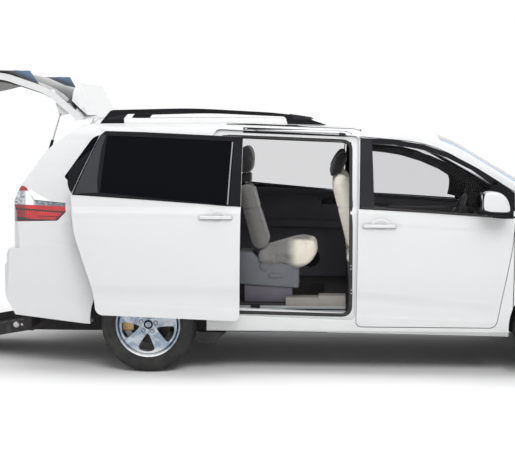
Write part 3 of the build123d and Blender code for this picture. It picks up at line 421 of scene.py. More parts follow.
for side, hand in hands:
    # The moulded corner round the quarter pane, and dark fabric trim along the roof's inner edge
    flank_trees[f"quarter_{hand}"] = skin_tree(f"body_side_{hand}", "quarter_glass")
    laid_on(f"quarter_corner_{hand}", f"quarter_{hand}", side,
            [(-1.30, 1.660), (-1.36, 1.620), (-1.40, 1.583), (-1.445, 1.548), (-1.478, 1.508),
             (-1.498, 1.465), (-1.505, 1.425), (-1.500, 1.385), (-1.488, 1.348), (-1.467, 1.318),
             (-1.44, 1.308), (-1.30, 1.330)], "body", satin_black, 0.0025, 0.005, 0.04, 0.001)
    form = bmesh.new()
    flat_face(form, [(0.64, 1.640), (0.736, 1.631), (0.839, 1.620), (0.949, 1.602), (1.096, 1.558),
                     (1.243, 1.495), (1.353, 1.441), (1.434, 1.390), (1.445, 1.350), (1.443, 1.287),
                     (1.430, 1.227), (1.560, 1.200), (1.600, 1.340), (1.536, 1.412), (1.352, 1.520),
                     (1.168, 1.600), (0.949, 1.655), (0.64, 1.680)], side * 0.750)
    drawn_out(form, (0, -side * 0.020, 0))
    soften(form, 0.004, 2, fold=0.8)
    made(form, f"cant_rail_trim_{hand}", "body", satin_black, smooth=50)
    # Printed black border of the windshield beside the pillar, with the sky's reflection painted on it in
    # blue
    form, rows, margin, proud = bmesh.new(), [], 0.004, 0.0015
    for step in range(15):
        x = pane_rear + 0.02 + step * 0.05
        edge = next(y for y in (0.90 - k * 0.002 for k in range(440)) if pane_height(x, y * side))
        row = [(edge - margin - reach) * side for reach in (0.0, 0.02, 0.04, 0.065, 0.09)]
        rows.append([form.verts.new((x, y, pane_height(x, y) + proud)) for y in row])
    for near, far in zip(rows, rows[1:]):
        for k in range(len(near) - 1):
            form.faces.new((near[k], near[k + 1], far[k + 1], far[k]))
    bmesh.ops.recalc_face_normals(form, faces=form.faces[:])
    bmesh.ops.solidify(form, geom=form.faces[:], thickness=0.001)
    made(form, f"windshield_border_{hand}", "body", border_reflection, smooth=60)
    node = body = f"front_door_{hand}"
    outline = [(0.650, 1.216), (0.656, 1.728), (0.90, 1.716), (1.12, 1.680), (1.30, 1.618),
               (1.50, 1.513), (1.66, 1.413), (1.768, 1.335), (1.768, 1.155), (1.60, 1.166), (1.10, 1.194)]
    opening = [(0.719, 1.232), (0.719, 1.688), (0.90, 1.678), (1.12, 1.641), (1.28, 1.588),
               (1.46, 1.497), (1.575, 1.414), (1.594, 1.394), (1.594, 1.174), (1.58, 1.177), (1.10, 1.206)]
    laid_on(f"window_surround_{node}", node, side, outline, body, satin_black, 0.003, 0.005, 0.06,
            0.001, hole=opening)
    # Pillar cover, corner plate behind the mirror, and the wiping seal along the foot of the pane
    for name, on, corners, material, fit in (
            ("door_pillar_cover", node, [(0.653, 1.226), (0.659, 1.724), (0.742, 1.720), (0.758, 1.226)],
             gloss_black, (0.006, 0.005, 0.06, 0.0015)),
            ("mirror_plate", f"mirror_{hand}",
             [(1.602, 1.158), (1.602, 1.430), (1.672, 1.398), (1.752, 1.345), (1.762, 1.320),
              (1.752, 1.152), (1.680, 1.152)], satin_black, (0.005, 0.012, 0.04, 0.001)),
            ("window_wiper", node, [(0.66, 1.220), (0.66, 1.234), (1.10, 1.210), (1.60, 1.178),
                                    (1.60, 1.160), (1.10, 1.194)], rubber, (0.008, 0.008, 0.08, 0.002))):
        laid_on(f"{name}_{hand}", on, side, corners, body, material, *fit)

# Door handles: painted grab bars on two feet over a dished recess, with a lock cylinder cap at
# the front door. The bar's ends are drawn over the plain CAD bar, which stays beneath.
def ring_lathe(form, profile, origin, axis, steps=40, turn=(1, 0, 0)):
    """Spins a profile of (distance along the axis, radius) about an axis through a point."""
    axis, turn = Vector(axis).normalized(), Vector(turn)
    turn = (turn - axis * turn.dot(axis)).normalized()
    verts = [form.verts.new(Vector(origin) + axis * along + turn * radius) for along, radius in profile]
    edges = [form.edges.new(pair) for pair in zip(verts, verts[1:])]
    bmesh.ops.spin(form, geom=verts + edges, cent=Vector(origin), axis=axis,
                   angle=2 * math.pi, steps=steps, use_merge=True)
    bmesh.ops.remove_doubles(form, verts=form.verts, dist=1e-6)


def brick(form, low, high):
    """A squared form between two corners, to be bevelled, cut or drawn out further."""
    low, high = Vector(low), Vector(high)
    corners = bmesh.ops.create_cube(form, size=1.0)["verts"]
    bmesh.ops.scale(form, vec=high - low, verts=corners)
    bmesh.ops.translate(form, vec=(low + high) / 2, verts=corners)
    return corners


def turned_piece(name, body, material, profile, origin, axis, steps=40, smooth=35, turn=(1, 0, 0)):
    """A piece spun from one profile."""
    form = bmesh.new()
    ring_lathe(form, profile, origin, axis, steps, turn)
    return made(form, name, body, material, smooth=smooth)


bar_half, end_drop, dish_length, dish_height = 0.121, 0.011, 1.15, 0.86
for side, hand in hands:
    # Each row is a door, its body, the rear end of its bar and the bar's height
    for node, body, rear, z in ((f"front_door_{hand}", f"front_door_{hand}", 0.6785, 1.095),
                                (f"sliding_door_{hand}", "body",
                                 0.3325 - (door_slide if side < 0 else 0), 1.162)):
        middle = rear + 0.117
        skin = flank_at(node, middle, z - 0.03, side)
        form = bmesh.new()
        brick(form, (rear - 0.004, skin + side * 0.006, z - 0.0185),
              (rear + 0.238, skin + side * 0.0265, z + 0.0175))
        for vert in form.verts:
            if abs(vert.co.x - middle) > 0.1:
                vert.co.z = z + (vert.co.z - z) * 0.72
        cut_up(form, 0.03, (0,))
        for vert in form.verts:
            reach = abs(vert.co.x - middle) / bar_half
            if (vert.co.y - skin) * side > 0.015:
                vert.co.y -= side * end_drop * reach ** 3
        soften(form, 0.009, 4, fold=0.6)
        made(form, f"handle_bar_{node}", body, paint, smooth=70)
        form = bmesh.new()
        ring_lathe(form, [(0.0003, 0.058), (0.0030, 0.055), (0.0062, 0.050), (0.0058, 0.045),
                          (0.0020, 0.034), (0.0008, 0.020), (0.0006, 0.0001)],
                   (middle + 0.008, skin, z + 0.004), (0, side, 0), 36)
        for vert in form.verts:
            vert.co.x = middle + (vert.co.x - middle) * dish_length
            vert.co.z = z + (vert.co.z - z) * dish_height
        for vert in form.verts:
            vert.co.y += flank_at(node, vert.co.x, min(vert.co.z, z - 0.02), side) - skin
        made(form, f"handle_dish_{node}", body, paint, smooth=60)
    skin = flank_at(f"front_door_{hand}", 0.672, 1.095, side)
    turned_piece(f"lock_cap_{hand}", f"front_door_{hand}", paint,
                 [(-0.002, 0.011), (0.004, 0.011), (0.006, 0.009), (0.006, 0.0001)],
                 (0.669, skin, 1.096), (0, side, 0), 24)

# Rear doorway on the right: a rubber tube seal pressed round the body's flange. It lies where the
# open door will close, a little inside the skin that the shut door shows on the other flank.
def evaluated(thing):
    """The mesh of an object as its modifiers leave it."""
    return bpy.data.meshes.new_from_object(
        thing.evaluated_get(bpy.context.evaluated_depsgraph_get()))


def drawn_tube(name, points, radius, body, material, closed=False):
    """A tube along a smooth path: rubber seal, rod, wire or pipe."""
    curve = bpy.data.curves.new(name, "CURVE")
    curve.dimensions = "3D"
    curve.bevel_depth, curve.bevel_resolution = radius, 3
    curve.use_fill_caps = True
    spline = curve.splines.new("NURBS")
    spline.points.add(len(points) - 1)
    for point, place in zip(spline.points, points):
        point.co = (*place, 1)
    spline.order_u, spline.use_endpoint_u, spline.resolution_u = 3, not closed, 4
    spline.use_cyclic_u = closed
    line = placed(name + "_line", curve)
    bpy.context.view_layer.update()
    form = bmesh.new()
    form.from_mesh(evaluated(line))
    bpy.data.objects.remove(line)
    return made(form, name, body, material, smooth=50)


def rounded_loop(corners, radius):
    """Points (x, z) round a closed outline with its corners rounded."""
    points, steps, longest = [], 5, 0.12
    for i, corner in enumerate(corners):
        before, after = Vector(corners[i - 1]), Vector(corners[(i + 1) % len(corners)])
        corner = Vector(corner)
        start = corner + (before - corner).normalized() * radius
        end = corner + (after - corner).normalized() * radius
        for k in range(steps + 1):
            t = k / steps
            points.append(start * (1 - t) ** 2 + corner * 2 * t * (1 - t) + end * t ** 2)
        gap = after - end
        count = int(gap.length / longest)
        following = after + (end - after).normalized() * radius
        for k in range(1, count):
            points.append(end.lerp(following, k / count))
    return points


doorway = [(0.590, 0.434), (0.590, 1.703), (-0.385, 1.742), (-0.56, 1.31), (-0.55, 1.10),
           (-0.36, 0.452)]
seal_inset, seal_radius = 0.030, 0.014
loop = [(p.x, seal_inset - flank_at("sliding_door_left", p.x, p.y, 1), p.y)
        for p in rounded_loop(doorway, 0.07)]
drawn_tube("doorway_seal_right", loop, seal_radius, "body", rubber, closed=True)

# Sliding door rail and latch fittings: a drip moulding over the doorway, a bright steel rail in a
# dark slot, two strikers on the centre pillar, and a jacking bracket under each sill.
def block_piece(name, material, blocks, width, segments=3, body="body", smooth=35):
    """A piece of squared blocks, each from corner to corner, with rounded edges."""
    form = bmesh.new()
    for low, high in blocks:
        brick(form, low, high)
    soften(form, width, segments)
    return made(form, name, body, material, smooth=smooth)


bolt_head = [(-0.004, 0.011), (0.004, 0.011), (0.006, 0.008), (0.006, 0.0001)]
bright_steel = worn("bright_steel", (0.42, 0.42, 0.43), (0.62, 0.62, 0.63), (60.0, 4.0),
                    (30.0, 0.22, 0.38), (400.0, 3.0, 0.15, 0.0005), Metallic=1.0)
underseal = worn("black_underseal", (0.014, 0.014, 0.015), (0.05, 0.047, 0.043),
                 (6.0, 8.0, 0.45, 0.75), (9.0, 0.6, 0.8), (50.0, 6.0, 0.4, 0.002))
for name, corners, material, fit in (
        ("drip_moulding_right", [(-0.34, 1.828), (-0.34, 1.838), (0.62, 1.806), (0.665, 1.786),
                                 (0.662, 1.779), (0.61, 1.795)],
         satin_black, (0.005, 0.008, 0.05, 0.0015)),
        ("door_rail_slot_right", [(-0.21, 1.764), (-0.21, 1.806), (0.55, 1.778), (0.595, 1.760),
                                  (0.585, 1.738), (0.50, 1.738)],
         satin_black, (0.0015, 0.006, 0.05, 0.001)),
        ("door_rail_right", [(-0.20, 1.782), (-0.20, 1.791), (0.50, 1.764), (0.50, 1.755)],
         bead_grey, (0.006, 0.006, 0.05, 0.002)),
        ("door_rail_stop_right", [(0.50, 1.750), (0.50, 1.766), (0.545, 1.763), (0.555, 1.747)],
         gloss_black, (0.009, 0.008, 0.02, 0.003))):
    laid_on(name, "body_side_right", -1, corners, "body", material, *fit)
for x, z in ((0.591, 0.792), (0.595, 0.612)):
    skin = flank_at("body_side_right", x + 0.02, z, -1)
    block_piece(f"latch_plate_{round(z * 1000)}", pillar_grey,
                [((x - 0.009, skin - 0.004, z - 0.031), (x + 0.009, skin + 0.010, z + 0.031))], 0.004)
    form = bmesh.new()
    for rise in (-0.012, 0.012):
        ring_lathe(form, [(-0.004, 0.0055), (0.008, 0.0055), (0.010, 0.004), (0.010, 0.0001)],
                   (x, skin - 0.003, z + rise), (0, -1, 0), 20)
    made(form, f"latch_striker_{round(z * 1000)}", "body", bright_steel)
sill_y, bracket_depth = 0.93, 0.07
for side, hand in hands:
    form = bmesh.new()
    flat_face(form, [(-0.528, 0.302), (-0.320, 0.302), (-0.352, 0.274), (-0.416, 0.224), (-0.440, 0.213),
                     (-0.528, 0.213), (-0.545, 0.236), (-0.542, 0.262)], side * sill_y)
    drawn_out(form, (0, -side * bracket_depth, 0))
    soften(form, 0.006, 2)
    ring_lathe(form, bolt_head, (-0.497, side * sill_y, 0.240), (0, side, 0), 6)
    made(form, f"jacking_bracket_{hand}", "body", underseal)

# Roof rails: black moulded bars over alloy cores, with broader feet screwed to the roof. The CAD
# bars stay, and a glossy foot leans into each end of them.
finish_node(satin_black, "roof_rails")
for side, hand in hands:
    for end, x, lean in (("rear", -1.20, 1), ("front", 0.235, -1)):
        form = bmesh.new()
        brick(form, (x - 0.070, side * 0.616, 1.858), (x + 0.070, side * 0.638, 1.902))
        for vert in form.verts:
            if vert.co.z > 1.88:
                vert.co.x += lean * 0.04
                vert.co.z += 0.004 if (vert.co.x - x) * lean > 0 else -0.018
        soften(form, 0.008)
        made(form, f"rail_foot_{end}_{hand}", "body", gloss_black)

# Door mirrors: painted shells on a black moulded foot, with a silvered glass facing the driver.
# A shell is one side outline, drawn across the van and narrowed towards both ends.
graph = Graph("silvered_glass", Metallic=1.0)
silvered_glass = graph.set(
    Base_Color=mixed(graph.noise(3.0), (0.80, 0.82, 0.84, 1), (0.86, 0.87, 0.88, 1)),
    Roughness=graph.noise(4.0) * 0.03 + 0.02)
shell_outline = [(1.511, 1.272), (1.515, 1.226), (1.560, 1.212), (1.640, 1.208), (1.694, 1.210),
                 (1.710, 1.226), (1.706, 1.262), (1.690, 1.308), (1.660, 1.342), (1.620, 1.360),
                 (1.570, 1.366), (1.526, 1.362), (1.514, 1.330)]
mirror_y, mirror_half, mirror_rear = 1.112, 0.104, 1.513
foot_y, foot_reach, foot_front = 0.925, 0.205, 1.66
for side, hand in hands:
    body = f"front_door_{hand}"
    form, rings = bmesh.new(), []
    for t, scale in ((-1, 0.52), (-0.95, 0.76), (-0.82, 0.90), (-0.5, 0.98), (0, 1), (0.5, 0.98),
                     (0.82, 0.90), (0.95, 0.76), (1, 0.52)):
        rings.append([form.verts.new((mirror_rear + (x - mirror_rear) * scale,
                                      side * (mirror_y + mirror_half * t),
                                      1.275 + (z - 1.280) * (0.25 + 0.75 * scale)))
                      for x, z in shell_outline])
    for inner, outer in zip(rings, rings[1:]):
        for k in range(len(inner)):
            form.faces.new((inner[k - 1], inner[k], outer[k], outer[k - 1]))
    form.faces.new(rings[0])
    form.faces.new(rings[-1])
    shell = made(form, f"mirror_shell_{hand}", body, paint, smooth=180, levels=2)
    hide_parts(f"mirror_{hand}")
    y = side * mirror_y
    block_piece(f"mirror_rim_{hand}", satin_black,
                [((1.507, y - 0.088, 1.222), (1.5205, y + 0.088, 1.345))], 0.0035, body=body)
    block_piece(f"mirror_glass_{hand}", silvered_glass,
                [((1.5050, y - 0.078, 1.232), (1.5080, y + 0.078, 1.335))], 0.001, body=body)
    # Foot: a flattened black arm out of the corner plate, under the shell
    form = bmesh.new()
    low_y, high_y = sorted((side * foot_y, side * 1.130))
    brick(form, (1.510, low_y, 1.170), (1.712, high_y, 1.214))
    cut_up(form, 0.025, (0, 1))
    for vert in form.verts:
        reach = (abs(vert.co.y) - foot_y) / foot_reach
        vert.co.z += 0.012 * reach if vert.co.z < 1.19 else 0.006 * reach
        vert.co.x = foot_front + (vert.co.x - foot_front) * (1 - 0.25 * reach)
    soften(form, 0.012, 3, fold=0.8)
    made(form, f"mirror_foot_{hand}", body, satin_black, smooth=50)

# Tail lamps: a red lens with darker banded reflectors behind it, smoky clear on top, and a second
# lamp in the tailgate that lines up with it when shut.
graph = Graph("tail_lens", Coat_Roughness=0.02)
x, y, z = graph.axis(0), graph.axis(1), graph.axis(2)


def over_line(start, end):
    """How far a place lies over the line through two places (x, z)."""
    return z - start[1] - (x - start[0]) * ((end[1] - start[1]) / (end[0] - start[0]))


over_curve = over_line((-1.75, 1.271), (-1.513, 1.2497)) - ((x + 1.75) * -1).at_least(0.0) * 1.4
over_red = over_line((-1.89, 1.2365), (-1.513, 1.224))
over_band = over_line((-1.89, 1.206), (-1.543, 1.1845))
over_foot = over_line((-1.88, 1.145), (-1.734, 1.1245))
over_flat = over_line((-1.734, 1.1245), (-1.57, 1.1207))
over_slant = over_line((-1.57, 1.1207), (-1.508, 1.179))
ribs = graph.waves("X", 26.0, Distortion=2.5, Detail=2.0)
fine_ribs = graph.waves("X", 90.0)
glow = mixed(step_up(ribs * 0.5 + graph.noise(16.0) * 0.7, 0.38, 0.70),
             (0.20, 0.002, 0.006, 1), (0.66, 0.006, 0.013, 1))
rear_shade = step_up(x, -1.79, -1.83) * 0.75
red = mixed(rear_shade, glow, (0.11, 0.002, 0.006, 1))
for over, reach in ((over_band, 0.0085), (over_foot, 0.006), (over_flat, 0.010), (over_slant, 0.026)):
    red = mixed(step_up(abs(over), reach, reach * 0.45), red, (0.012, 0.002, 0.004, 1))
inner_band = step_up(abs(over_flat - 0.030), 0.005, 0.002)
red = mixed(inner_band * step_up(x, -1.74, -1.70), red, (0.05, 0.002, 0.005, 1))
silver = mixed(step_up(graph.noise(55.0, 4.0), 0.35, 0.65), (0.20, 0.21, 0.25, 1),
               (0.55, 0.57, 0.62, 1))
silver = mixed(step_up(x, -1.825, -1.805), silver, (0.86, 0.87, 0.88, 1))
strip = mixed(step_up(graph.noise(30.0, 3.0), 0.4, 0.6), (0.09, 0.12, 0.15, 1),
              (0.27, 0.32, 0.37, 1))
silver = mixed(step_up(x, -1.765, -1.735), silver, strip)
color = mixed(step_up(over_red, -0.002, 0.003), red, silver)
color = mixed(step_up(z, 1.334, 1.340), color, (0.33, 0.004, 0.014, 1))
painted = step_up(over_curve, -0.0015, 0.0015)
dark_seam = step_up(over_curve, -0.008, -0.004) * step_up(x, -1.79, -1.76)
color = mixed(dark_seam, color, (0.05, 0.05, 0.06, 1))
color = mixed(painted, color, (0.86, 0.868, 0.875, 1))
tail_lens = graph.set(Base_Color=color, Coat_Weight=painted * -0.2 + 1.0,
                      Roughness=mixed(painted, graph.noise(30.0) * 0.06 + 0.05, weathered(graph)),
                      Normal=graph.bump(fine_ribs * (1 - painted), 0.25, 0.001))
finish_node(tail_lens, "tail_lamps")
for side, hand in hands:
    flank_trees[f"tail_corner_{hand}"] = skin_tree(f"body_side_{hand}", "tail_lamps")
    laid_on(f"tail_lamp_tip_{hand}", f"tail_corner_{hand}", side,
            [(-1.790, 1.333), (-1.781, 1.309), (-1.750, 1.273), (-1.513, 1.2515), (-1.508, 1.179),
             (-1.570, 1.1207), (-1.750, 1.130), (-1.790, 1.136)], "body", tail_lens, 0.002, 0.004, 0.03,
            0.0008)
graph = Graph("red_lens", Coat_Weight=1.0, Coat_Roughness=0.02)
wave = graph.waves("Y", 60.0)
red_lens = graph.set(Base_Color=mixed(wave, (0.28, 0.002, 0.006, 1), (0.60, 0.006, 0.012, 1)),
                     Roughness=graph.noise(30.0) * 0.06 + 0.06, Normal=graph.bump(wave, 0.3, 0.001))

# Headlamps: clear lenses over bright reflector bowls and a dark bezel. The CAD lenses stay, and
# round cells in the material stand for the bowls behind them.
graph = Graph("head_lens", Coat_Weight=1.0, Coat_Roughness=0.01, IOR=1.5)
bowls = graph.add("ShaderNodeTexVoronoi", {"feature": "SMOOTH_F1"},
                  {"Vector": graph.place(), "Scale": 9.0, "Smoothness": 0.3, "Randomness": 0.35})
color = mixed(step_up(bowls, 0.18, 0.42), (0.75, 0.78, 0.80, 1), (0.05, 0.055, 0.06, 1))
head_lens = graph.set(Base_Color=color, Metallic=step_up(bowls, 0.42, 0.18) * 0.7,
                      Roughness=graph.noise(20.0) * 0.08 + 0.05, Normal=graph.bump(bowls, 0.4, 0.004))
finish_node(head_lens, "headlamps")

# Nose and cowl: black moulded grilles, and the arms of the wipers parked over the cowl. The far
# ends of the arms lie on the windshield.
finish_node(satin_black, "grille", "cowl")
for side, hand in hands:
    foot = Vector((2.262, side * 0.30 + 0.18, 1.176))
    tip = Vector((2.03, side * 0.30 - 0.34, 1.262))
    drawn_tube(f"wiper_arm_{hand}", [foot, foot.lerp(tip, 0.3) + Vector((0, 0, 0.018)),
                                     foot.lerp(tip, 0.7) + Vector((0, 0, 0.02)), tip], 0.006, "body",
               satin_black)

# Tailgate: a steel door with bonded glass that wraps round its corners, lamps, a blank plate, a
# moulded lining and a rubber seal. It is laid out shut, then turned up about its hinge.
def hinged(hinge, degrees):
    """The turn about a crosswise hinge line."""
    return Matrix.Translation(hinge) @ Matrix.Rotation(math.radians(degrees), 4, "Y") \
        @ Matrix.Translation(-hinge)


gate_hinge, gate_lift = Vector((axle_x - 0.481, 0, 1.882)), 74
gate_turn = hinged(gate_hinge, gate_lift)
gate_tree = skin_tree("tailgate", turn=gate_turn.inverted())
pane_tree = skin_tree("tailgate_glass", turn=gate_turn.inverted())


def gate_at(y, z):
    """How far back the shut tailgate's outer skin lies at a place seen from behind."""
    hits = [tree.ray_cast(Vector((-3, y, z)), Vector((1, 0, 0)))[0] for tree in (gate_tree, pane_tree)]
    found = [h.x for h in hits if h is not None and h.x < axle_x - 0.2]
    if found:
        return min(found)
    return gate_tree.find_nearest(Vector((axle_x - 1.1, y * 0.97, z)))[0].x


def on_gate(name, outline, material, proud=0.002, depth=0.004, spacing=0.05, bevel=0.0, hole=None):
    """A part cut to an outline (y, z) seen from behind, laid on the tailgate and turned up with it.
    A negative proud lies under the skin, on the cabin side."""
    form = bmesh.new()
    form.faces.new([form.verts.new((0, y, z)) for y, z in outline])
    if hole:
        form.faces.new([form.verts.new((0, y, z)) for y, z in hole])
        pierced(form)
    cut_up(form, spacing, (1, 2))
    raised = set(drawn_out(form))
    for vert in form.verts:
        skin = gate_at(vert.co.y, vert.co.z)
        vert.co.x = skin - (proud if vert in raised else proud - depth)
    bmesh.ops.transform(form, matrix=gate_turn, verts=form.verts)
    return made(form, name, "tailgate", material, bevel)


def both_hands(half):
    """The outline of a centred part from its left half, listed from foot to top."""
    return half + [(-y, z) for y, z in reversed(half)]


graph = Graph("wrapped_glass", Coat_Weight=1.0, Coat_Roughness=0.01)
x, z = graph.axis(0), graph.axis(2)
# Near-black glass, painted blue towards its top edge as a painted reflection of the sky.
sky_reflection = step_up(z - (x + 1.5) * -0.42, 2.015, 2.075)
wrapped_glass = graph.set(
    Base_Color=mixed(sky_reflection, (0.006, 0.008, 0.013, 1), (0.075, 0.145, 0.27, 1)),
    Roughness=graph.noise(4.0) * 0.04 + 0.05)
grey_lining = worn("moulded_grey_lining", (0.26, 0.26, 0.25), (0.33, 0.325, 0.31), (5.0, 5.0),
                   (8.0, 0.55, 0.7), cells=(420.0, 0.35, 0.0006))
plate_white = worn("blank_plate", (0.74, 0.74, 0.73), (0.80, 0.80, 0.79), (12.0, 4.0),
                   (20.0, 0.3, 0.5), (300.0, 3.0, 0.1, 0.0005), Coat_Weight=0.3)
gate_wrap = [(0.742, 1.215), (0.748, 1.30), (0.728, 1.44), (0.704, 1.56), (0.676, 1.74), (0.668, 1.80),
             (0.545, 1.80), (0.600, 1.56), (0.627, 1.30), (0.630, 1.235), (0.40, 1.232), (0.40, 1.205)]
gate_lamp = [(0.742, 1.125), (0.744, 1.205), (0.70, 1.207), (0.44, 1.186), (0.43, 1.170), (0.46, 1.125)]
for side, hand in hands:
    on_gate(f"gate_glass_wrap_{hand}", [(y * side, z) for y, z in gate_wrap], wrapped_glass, 0.0025,
            0.005, 0.05, 0.001)
    on_gate(f"gate_lamp_{hand}", [(y * side, z) for y, z in gate_lamp], red_lens, 0.006, 0.010, 0.05,
            0.002)
for name, half, material, fit in (
        ("garnish", [(0.36, 1.135), (0.40, 1.178)], satin_black, (0.005, 0.009, 0.06, 0.002)),
        ("plate_recess", [(0.20, 0.965), (0.22, 1.118)], satin_black, (0.001, 0.004, 0.06, 0.001)),
        ("plate", [(0.153, 0.972), (0.153, 1.106)], plate_white, (0.004, 0.003, 0.06, 0.0006)),
        ("stop_lamp", [(0.17, 1.786), (0.17, 1.800)], red_lens, (0.004, 0.006, 0.06, 0.001)),
        ("lining_low", [(0.672, 0.965), (0.700, 1.20), (0.655, 1.222)], grey_lining,
         (-0.052, 0.022, 0.06, 0.006))):
    on_gate(f"gate_{name}", both_hands(half), material, *fit)
on_gate("gate_lining_frame",
        both_hands([(0.690, 1.190), (0.655, 1.56), (0.615, 1.765)]), grey_lining, -0.046, 0.022, 0.06,
        0.006, hole=both_hands([(0.612, 1.262), (0.588, 1.56), (0.536, 1.742)]))
loop = rounded_loop(both_hands([(0.690, 0.952), (0.722, 1.20), (0.680, 1.56), (0.628, 1.79)]), 0.06)
drawn_tube("gate_seal", [gate_turn @ Vector((gate_at(p.x * 0.985, p.y) + 0.064, p.x, p.y))
                         for p in loop], 0.009, "tailgate", rubber, closed=True)

# Gas springs: black enamelled tubes and ground steel rods on ball studs, which keep their CAD
# shapes and take a worked finish.
finish_node(satin_black, "stay_tubes")
finish_node(bright_steel, "stay_rods")

# Ramp: an aluminium plate in black textured paint between two rails, with grit strips for the
# wheels, a hinge tube, catch knobs and side bolts. It is laid out level, then turned down.
ramp_hinge, ramp_slope = Vector((axle_x - 1.005, 0, 0.236)), -9.964
ramp_turn = hinged(ramp_hinge, ramp_slope)
rail_y, cap_y = 0.385, 0.377
ramp_black = worn("textured_black_enamel", (0.016, 0.016, 0.018), (0.07, 0.07, 0.073),
                  (14.0, 8.0, 0.55, 0.72), (9.0, 0.45, 0.65), (260.0, 6.0, 0.5, 0.0012))
grit_strip = worn("grit_strip", (0.010, 0.010, 0.010), (0.05, 0.05, 0.048), (40.0, 6.0),
                  (20.0, 0.8, 0.95), cells=(520.0, 0.9, 0.002))
finish_node(ramp_black, "ramp")


def on_ramp(form, name, material):
    """Turns a form down with the ramp and makes it a piece that rides on it."""
    bmesh.ops.transform(form, matrix=ramp_turn, verts=form.verts)
    return made(form, name, "ramp", material)


grit_rows, grit_pitch, plate_top = 13, 0.078, 0.2355
form = bmesh.new()
for row in range(grit_rows):
    x = ramp_hinge.x - 0.12 - row * grit_pitch
    for y in (-0.24, 0.0, 0.24):
        brick(form, (x - 0.026, y - 0.105, plate_top), (x + 0.026, y + 0.105, 0.2378))
soften(form, 0.0008, 1)
on_ramp(form, "ramp_grit_strips", grit_strip)
form = bmesh.new()
for side in (-1, 1):
    for x in (0.08, 0.34, 0.60, 0.86, 1.05):
        ring_lathe(form, [(-0.002, 0.011)] + bolt_head[1:],
                   (ramp_hinge.x - x, side * rail_y, 0.264), (0, side, 0), 6)
on_ramp(form, "ramp_side_bolts", bright_steel)
form = bmesh.new()
for side in (-1, 1):
    brick(form, (ramp_hinge.x - 1.095, side * cap_y - 0.011, 0.296),
          (ramp_hinge.x - 0.05, side * cap_y + 0.011, 0.301))
soften(form, 0.002)
on_ramp(form, "ramp_rail_caps", rubber)
form = bmesh.new()
for side in (-1, 1):
    ring_lathe(form, [(0.0, 0.024), (0.004, 0.024), (0.007, 0.020), (0.008, 0.016), (0.008, 0.0001)],
               (ramp_hinge.x - 0.125, side * rail_y, 0.270), (0, side, 0), 24)
on_ramp(form, "ramp_catch_knobs", bright_steel)

# Wheels: cast five-spoke alloys in silver lacquer with a machined lip, lug nuts round a plain cap,
# brake discs behind them, and tyres with grooved treads and ribbed sidewalls.
graph = Graph("silver_lacquer", Metallic=0.55, Coat_Weight=0.35, Coat_Roughness=0.08)
# The silver's blue patches are a painted reflection of the sky, and its lower part has a painted highlight.
blue_reflection_patches = step_up(graph.noise(11.0, 2.0, Distortion=0.8), 0.40, 0.62)
low_highlight = step_up(graph.axis(2), 0.205, 0.125)
lacquer_with_reflection = mixed(blue_reflection_patches, (0.235, 0.300, 0.385, 1), (0.50, 0.54, 0.60, 1))
alloy = graph.set(
    Base_Color=mixed(low_highlight, lacquer_with_reflection, (0.88, 0.89, 0.90, 1)),
    Roughness=weathered(graph, 12.0, 0.22, 0.34))
barrel_grey = worn("dark_barrel", (0.06, 0.058, 0.055), (0.15, 0.14, 0.13), (12.0, 6.0),
                   (12.0, 0.4, 0.6), Metallic=0.6)
graph = Graph("oxidised_iron")
calliper_zone = step_up(abs(graph.axis(1)), 0.735, 0.750)
gold = mixed(graph.noise(26.0, 6.0), (0.50, 0.30, 0.10, 1), (0.85, 0.66, 0.36, 1))
brake_iron = graph.set(
    Base_Color=mixed(calliper_zone, (0.020, 0.019, 0.018, 1), gold), Metallic=calliper_zone * 0.35,
    Roughness=weathered(graph, 25.0, 0.38, 0.58), Normal=graph.bump(graph.noise(120.0), 0.3, 0.001))
disc_iron = worn("dark_disc_iron", (0.022, 0.021, 0.020), (0.060, 0.056, 0.052), (26.0, 6.0),
                 (25.0, 0.4, 0.6), (120.0, 3.0, 0.3, 0.001), Metallic=0.8)
tyre_rubber = worn("tyre_rubber", (0.012, 0.012, 0.012), (0.036, 0.035, 0.033),
                   (10.0, 6.0, 0.4, 0.75), (14.0, 0.6, 0.82), (300.0, 3.0, 0.25, 0.0008))
finish_node(brake_iron, "knuckle_right", "knuckle_left", "rear_suspension")
# The tyre's profile is (distance along the axle, radius). A row of the wheel's face is a radius,
# the degrees that an arm reaches to each side there, and how far out the face lies.
tyre_profile = [(-0.100, 0.2425), (-0.108, 0.255), (-0.114, 0.272), (-0.1168, 0.292), (-0.1155, 0.296),
                (-0.1168, 0.299), (-0.1150, 0.312), (-0.1130, 0.3145), (-0.1135, 0.318), (-0.108, 0.332),
                (-0.100, 0.3435), (-0.084, 0.3485), (-0.062, 0.3505), (-0.060, 0.3430), (-0.049, 0.3430),
                (-0.047, 0.3512), (-0.020, 0.3519), (-0.018, 0.3440), (-0.007, 0.3440), (-0.005, 0.3520)]
tyre_profile += [(-a, r) for a, r in reversed(tyre_profile)]
wheel_face = [(0.020, 36, 0.0830), (0.045, 36, 0.0845), (0.066, 36, 0.0845), (0.0715, 34, 0.0845),
              (0.0770, 29.5, 0.0845), (0.085, 26, 0.0850), (0.100, 22.4, 0.0862), (0.125, 19.6, 0.0885),
              (0.150, 17.6, 0.0910), (0.172, 16.6, 0.0928), (0.186, 16.8, 0.0934), (0.195, 19.0, 0.0936),
              (0.2005, 25, 0.0936), (0.2030, 36, 0.0936), (0.209, 36, 0.0930), (0.216, 36, 0.0915)]
spoke_turn, hub_radius, hub_depth, arm_depth = math.radians(4.7), 0.06, 0.044, 0.036
wheelbase, half_track, tyre_radius = 3.030, 0.850, 0.352
nut_circle, tread_bars, arms = 0.0572, 60, 5
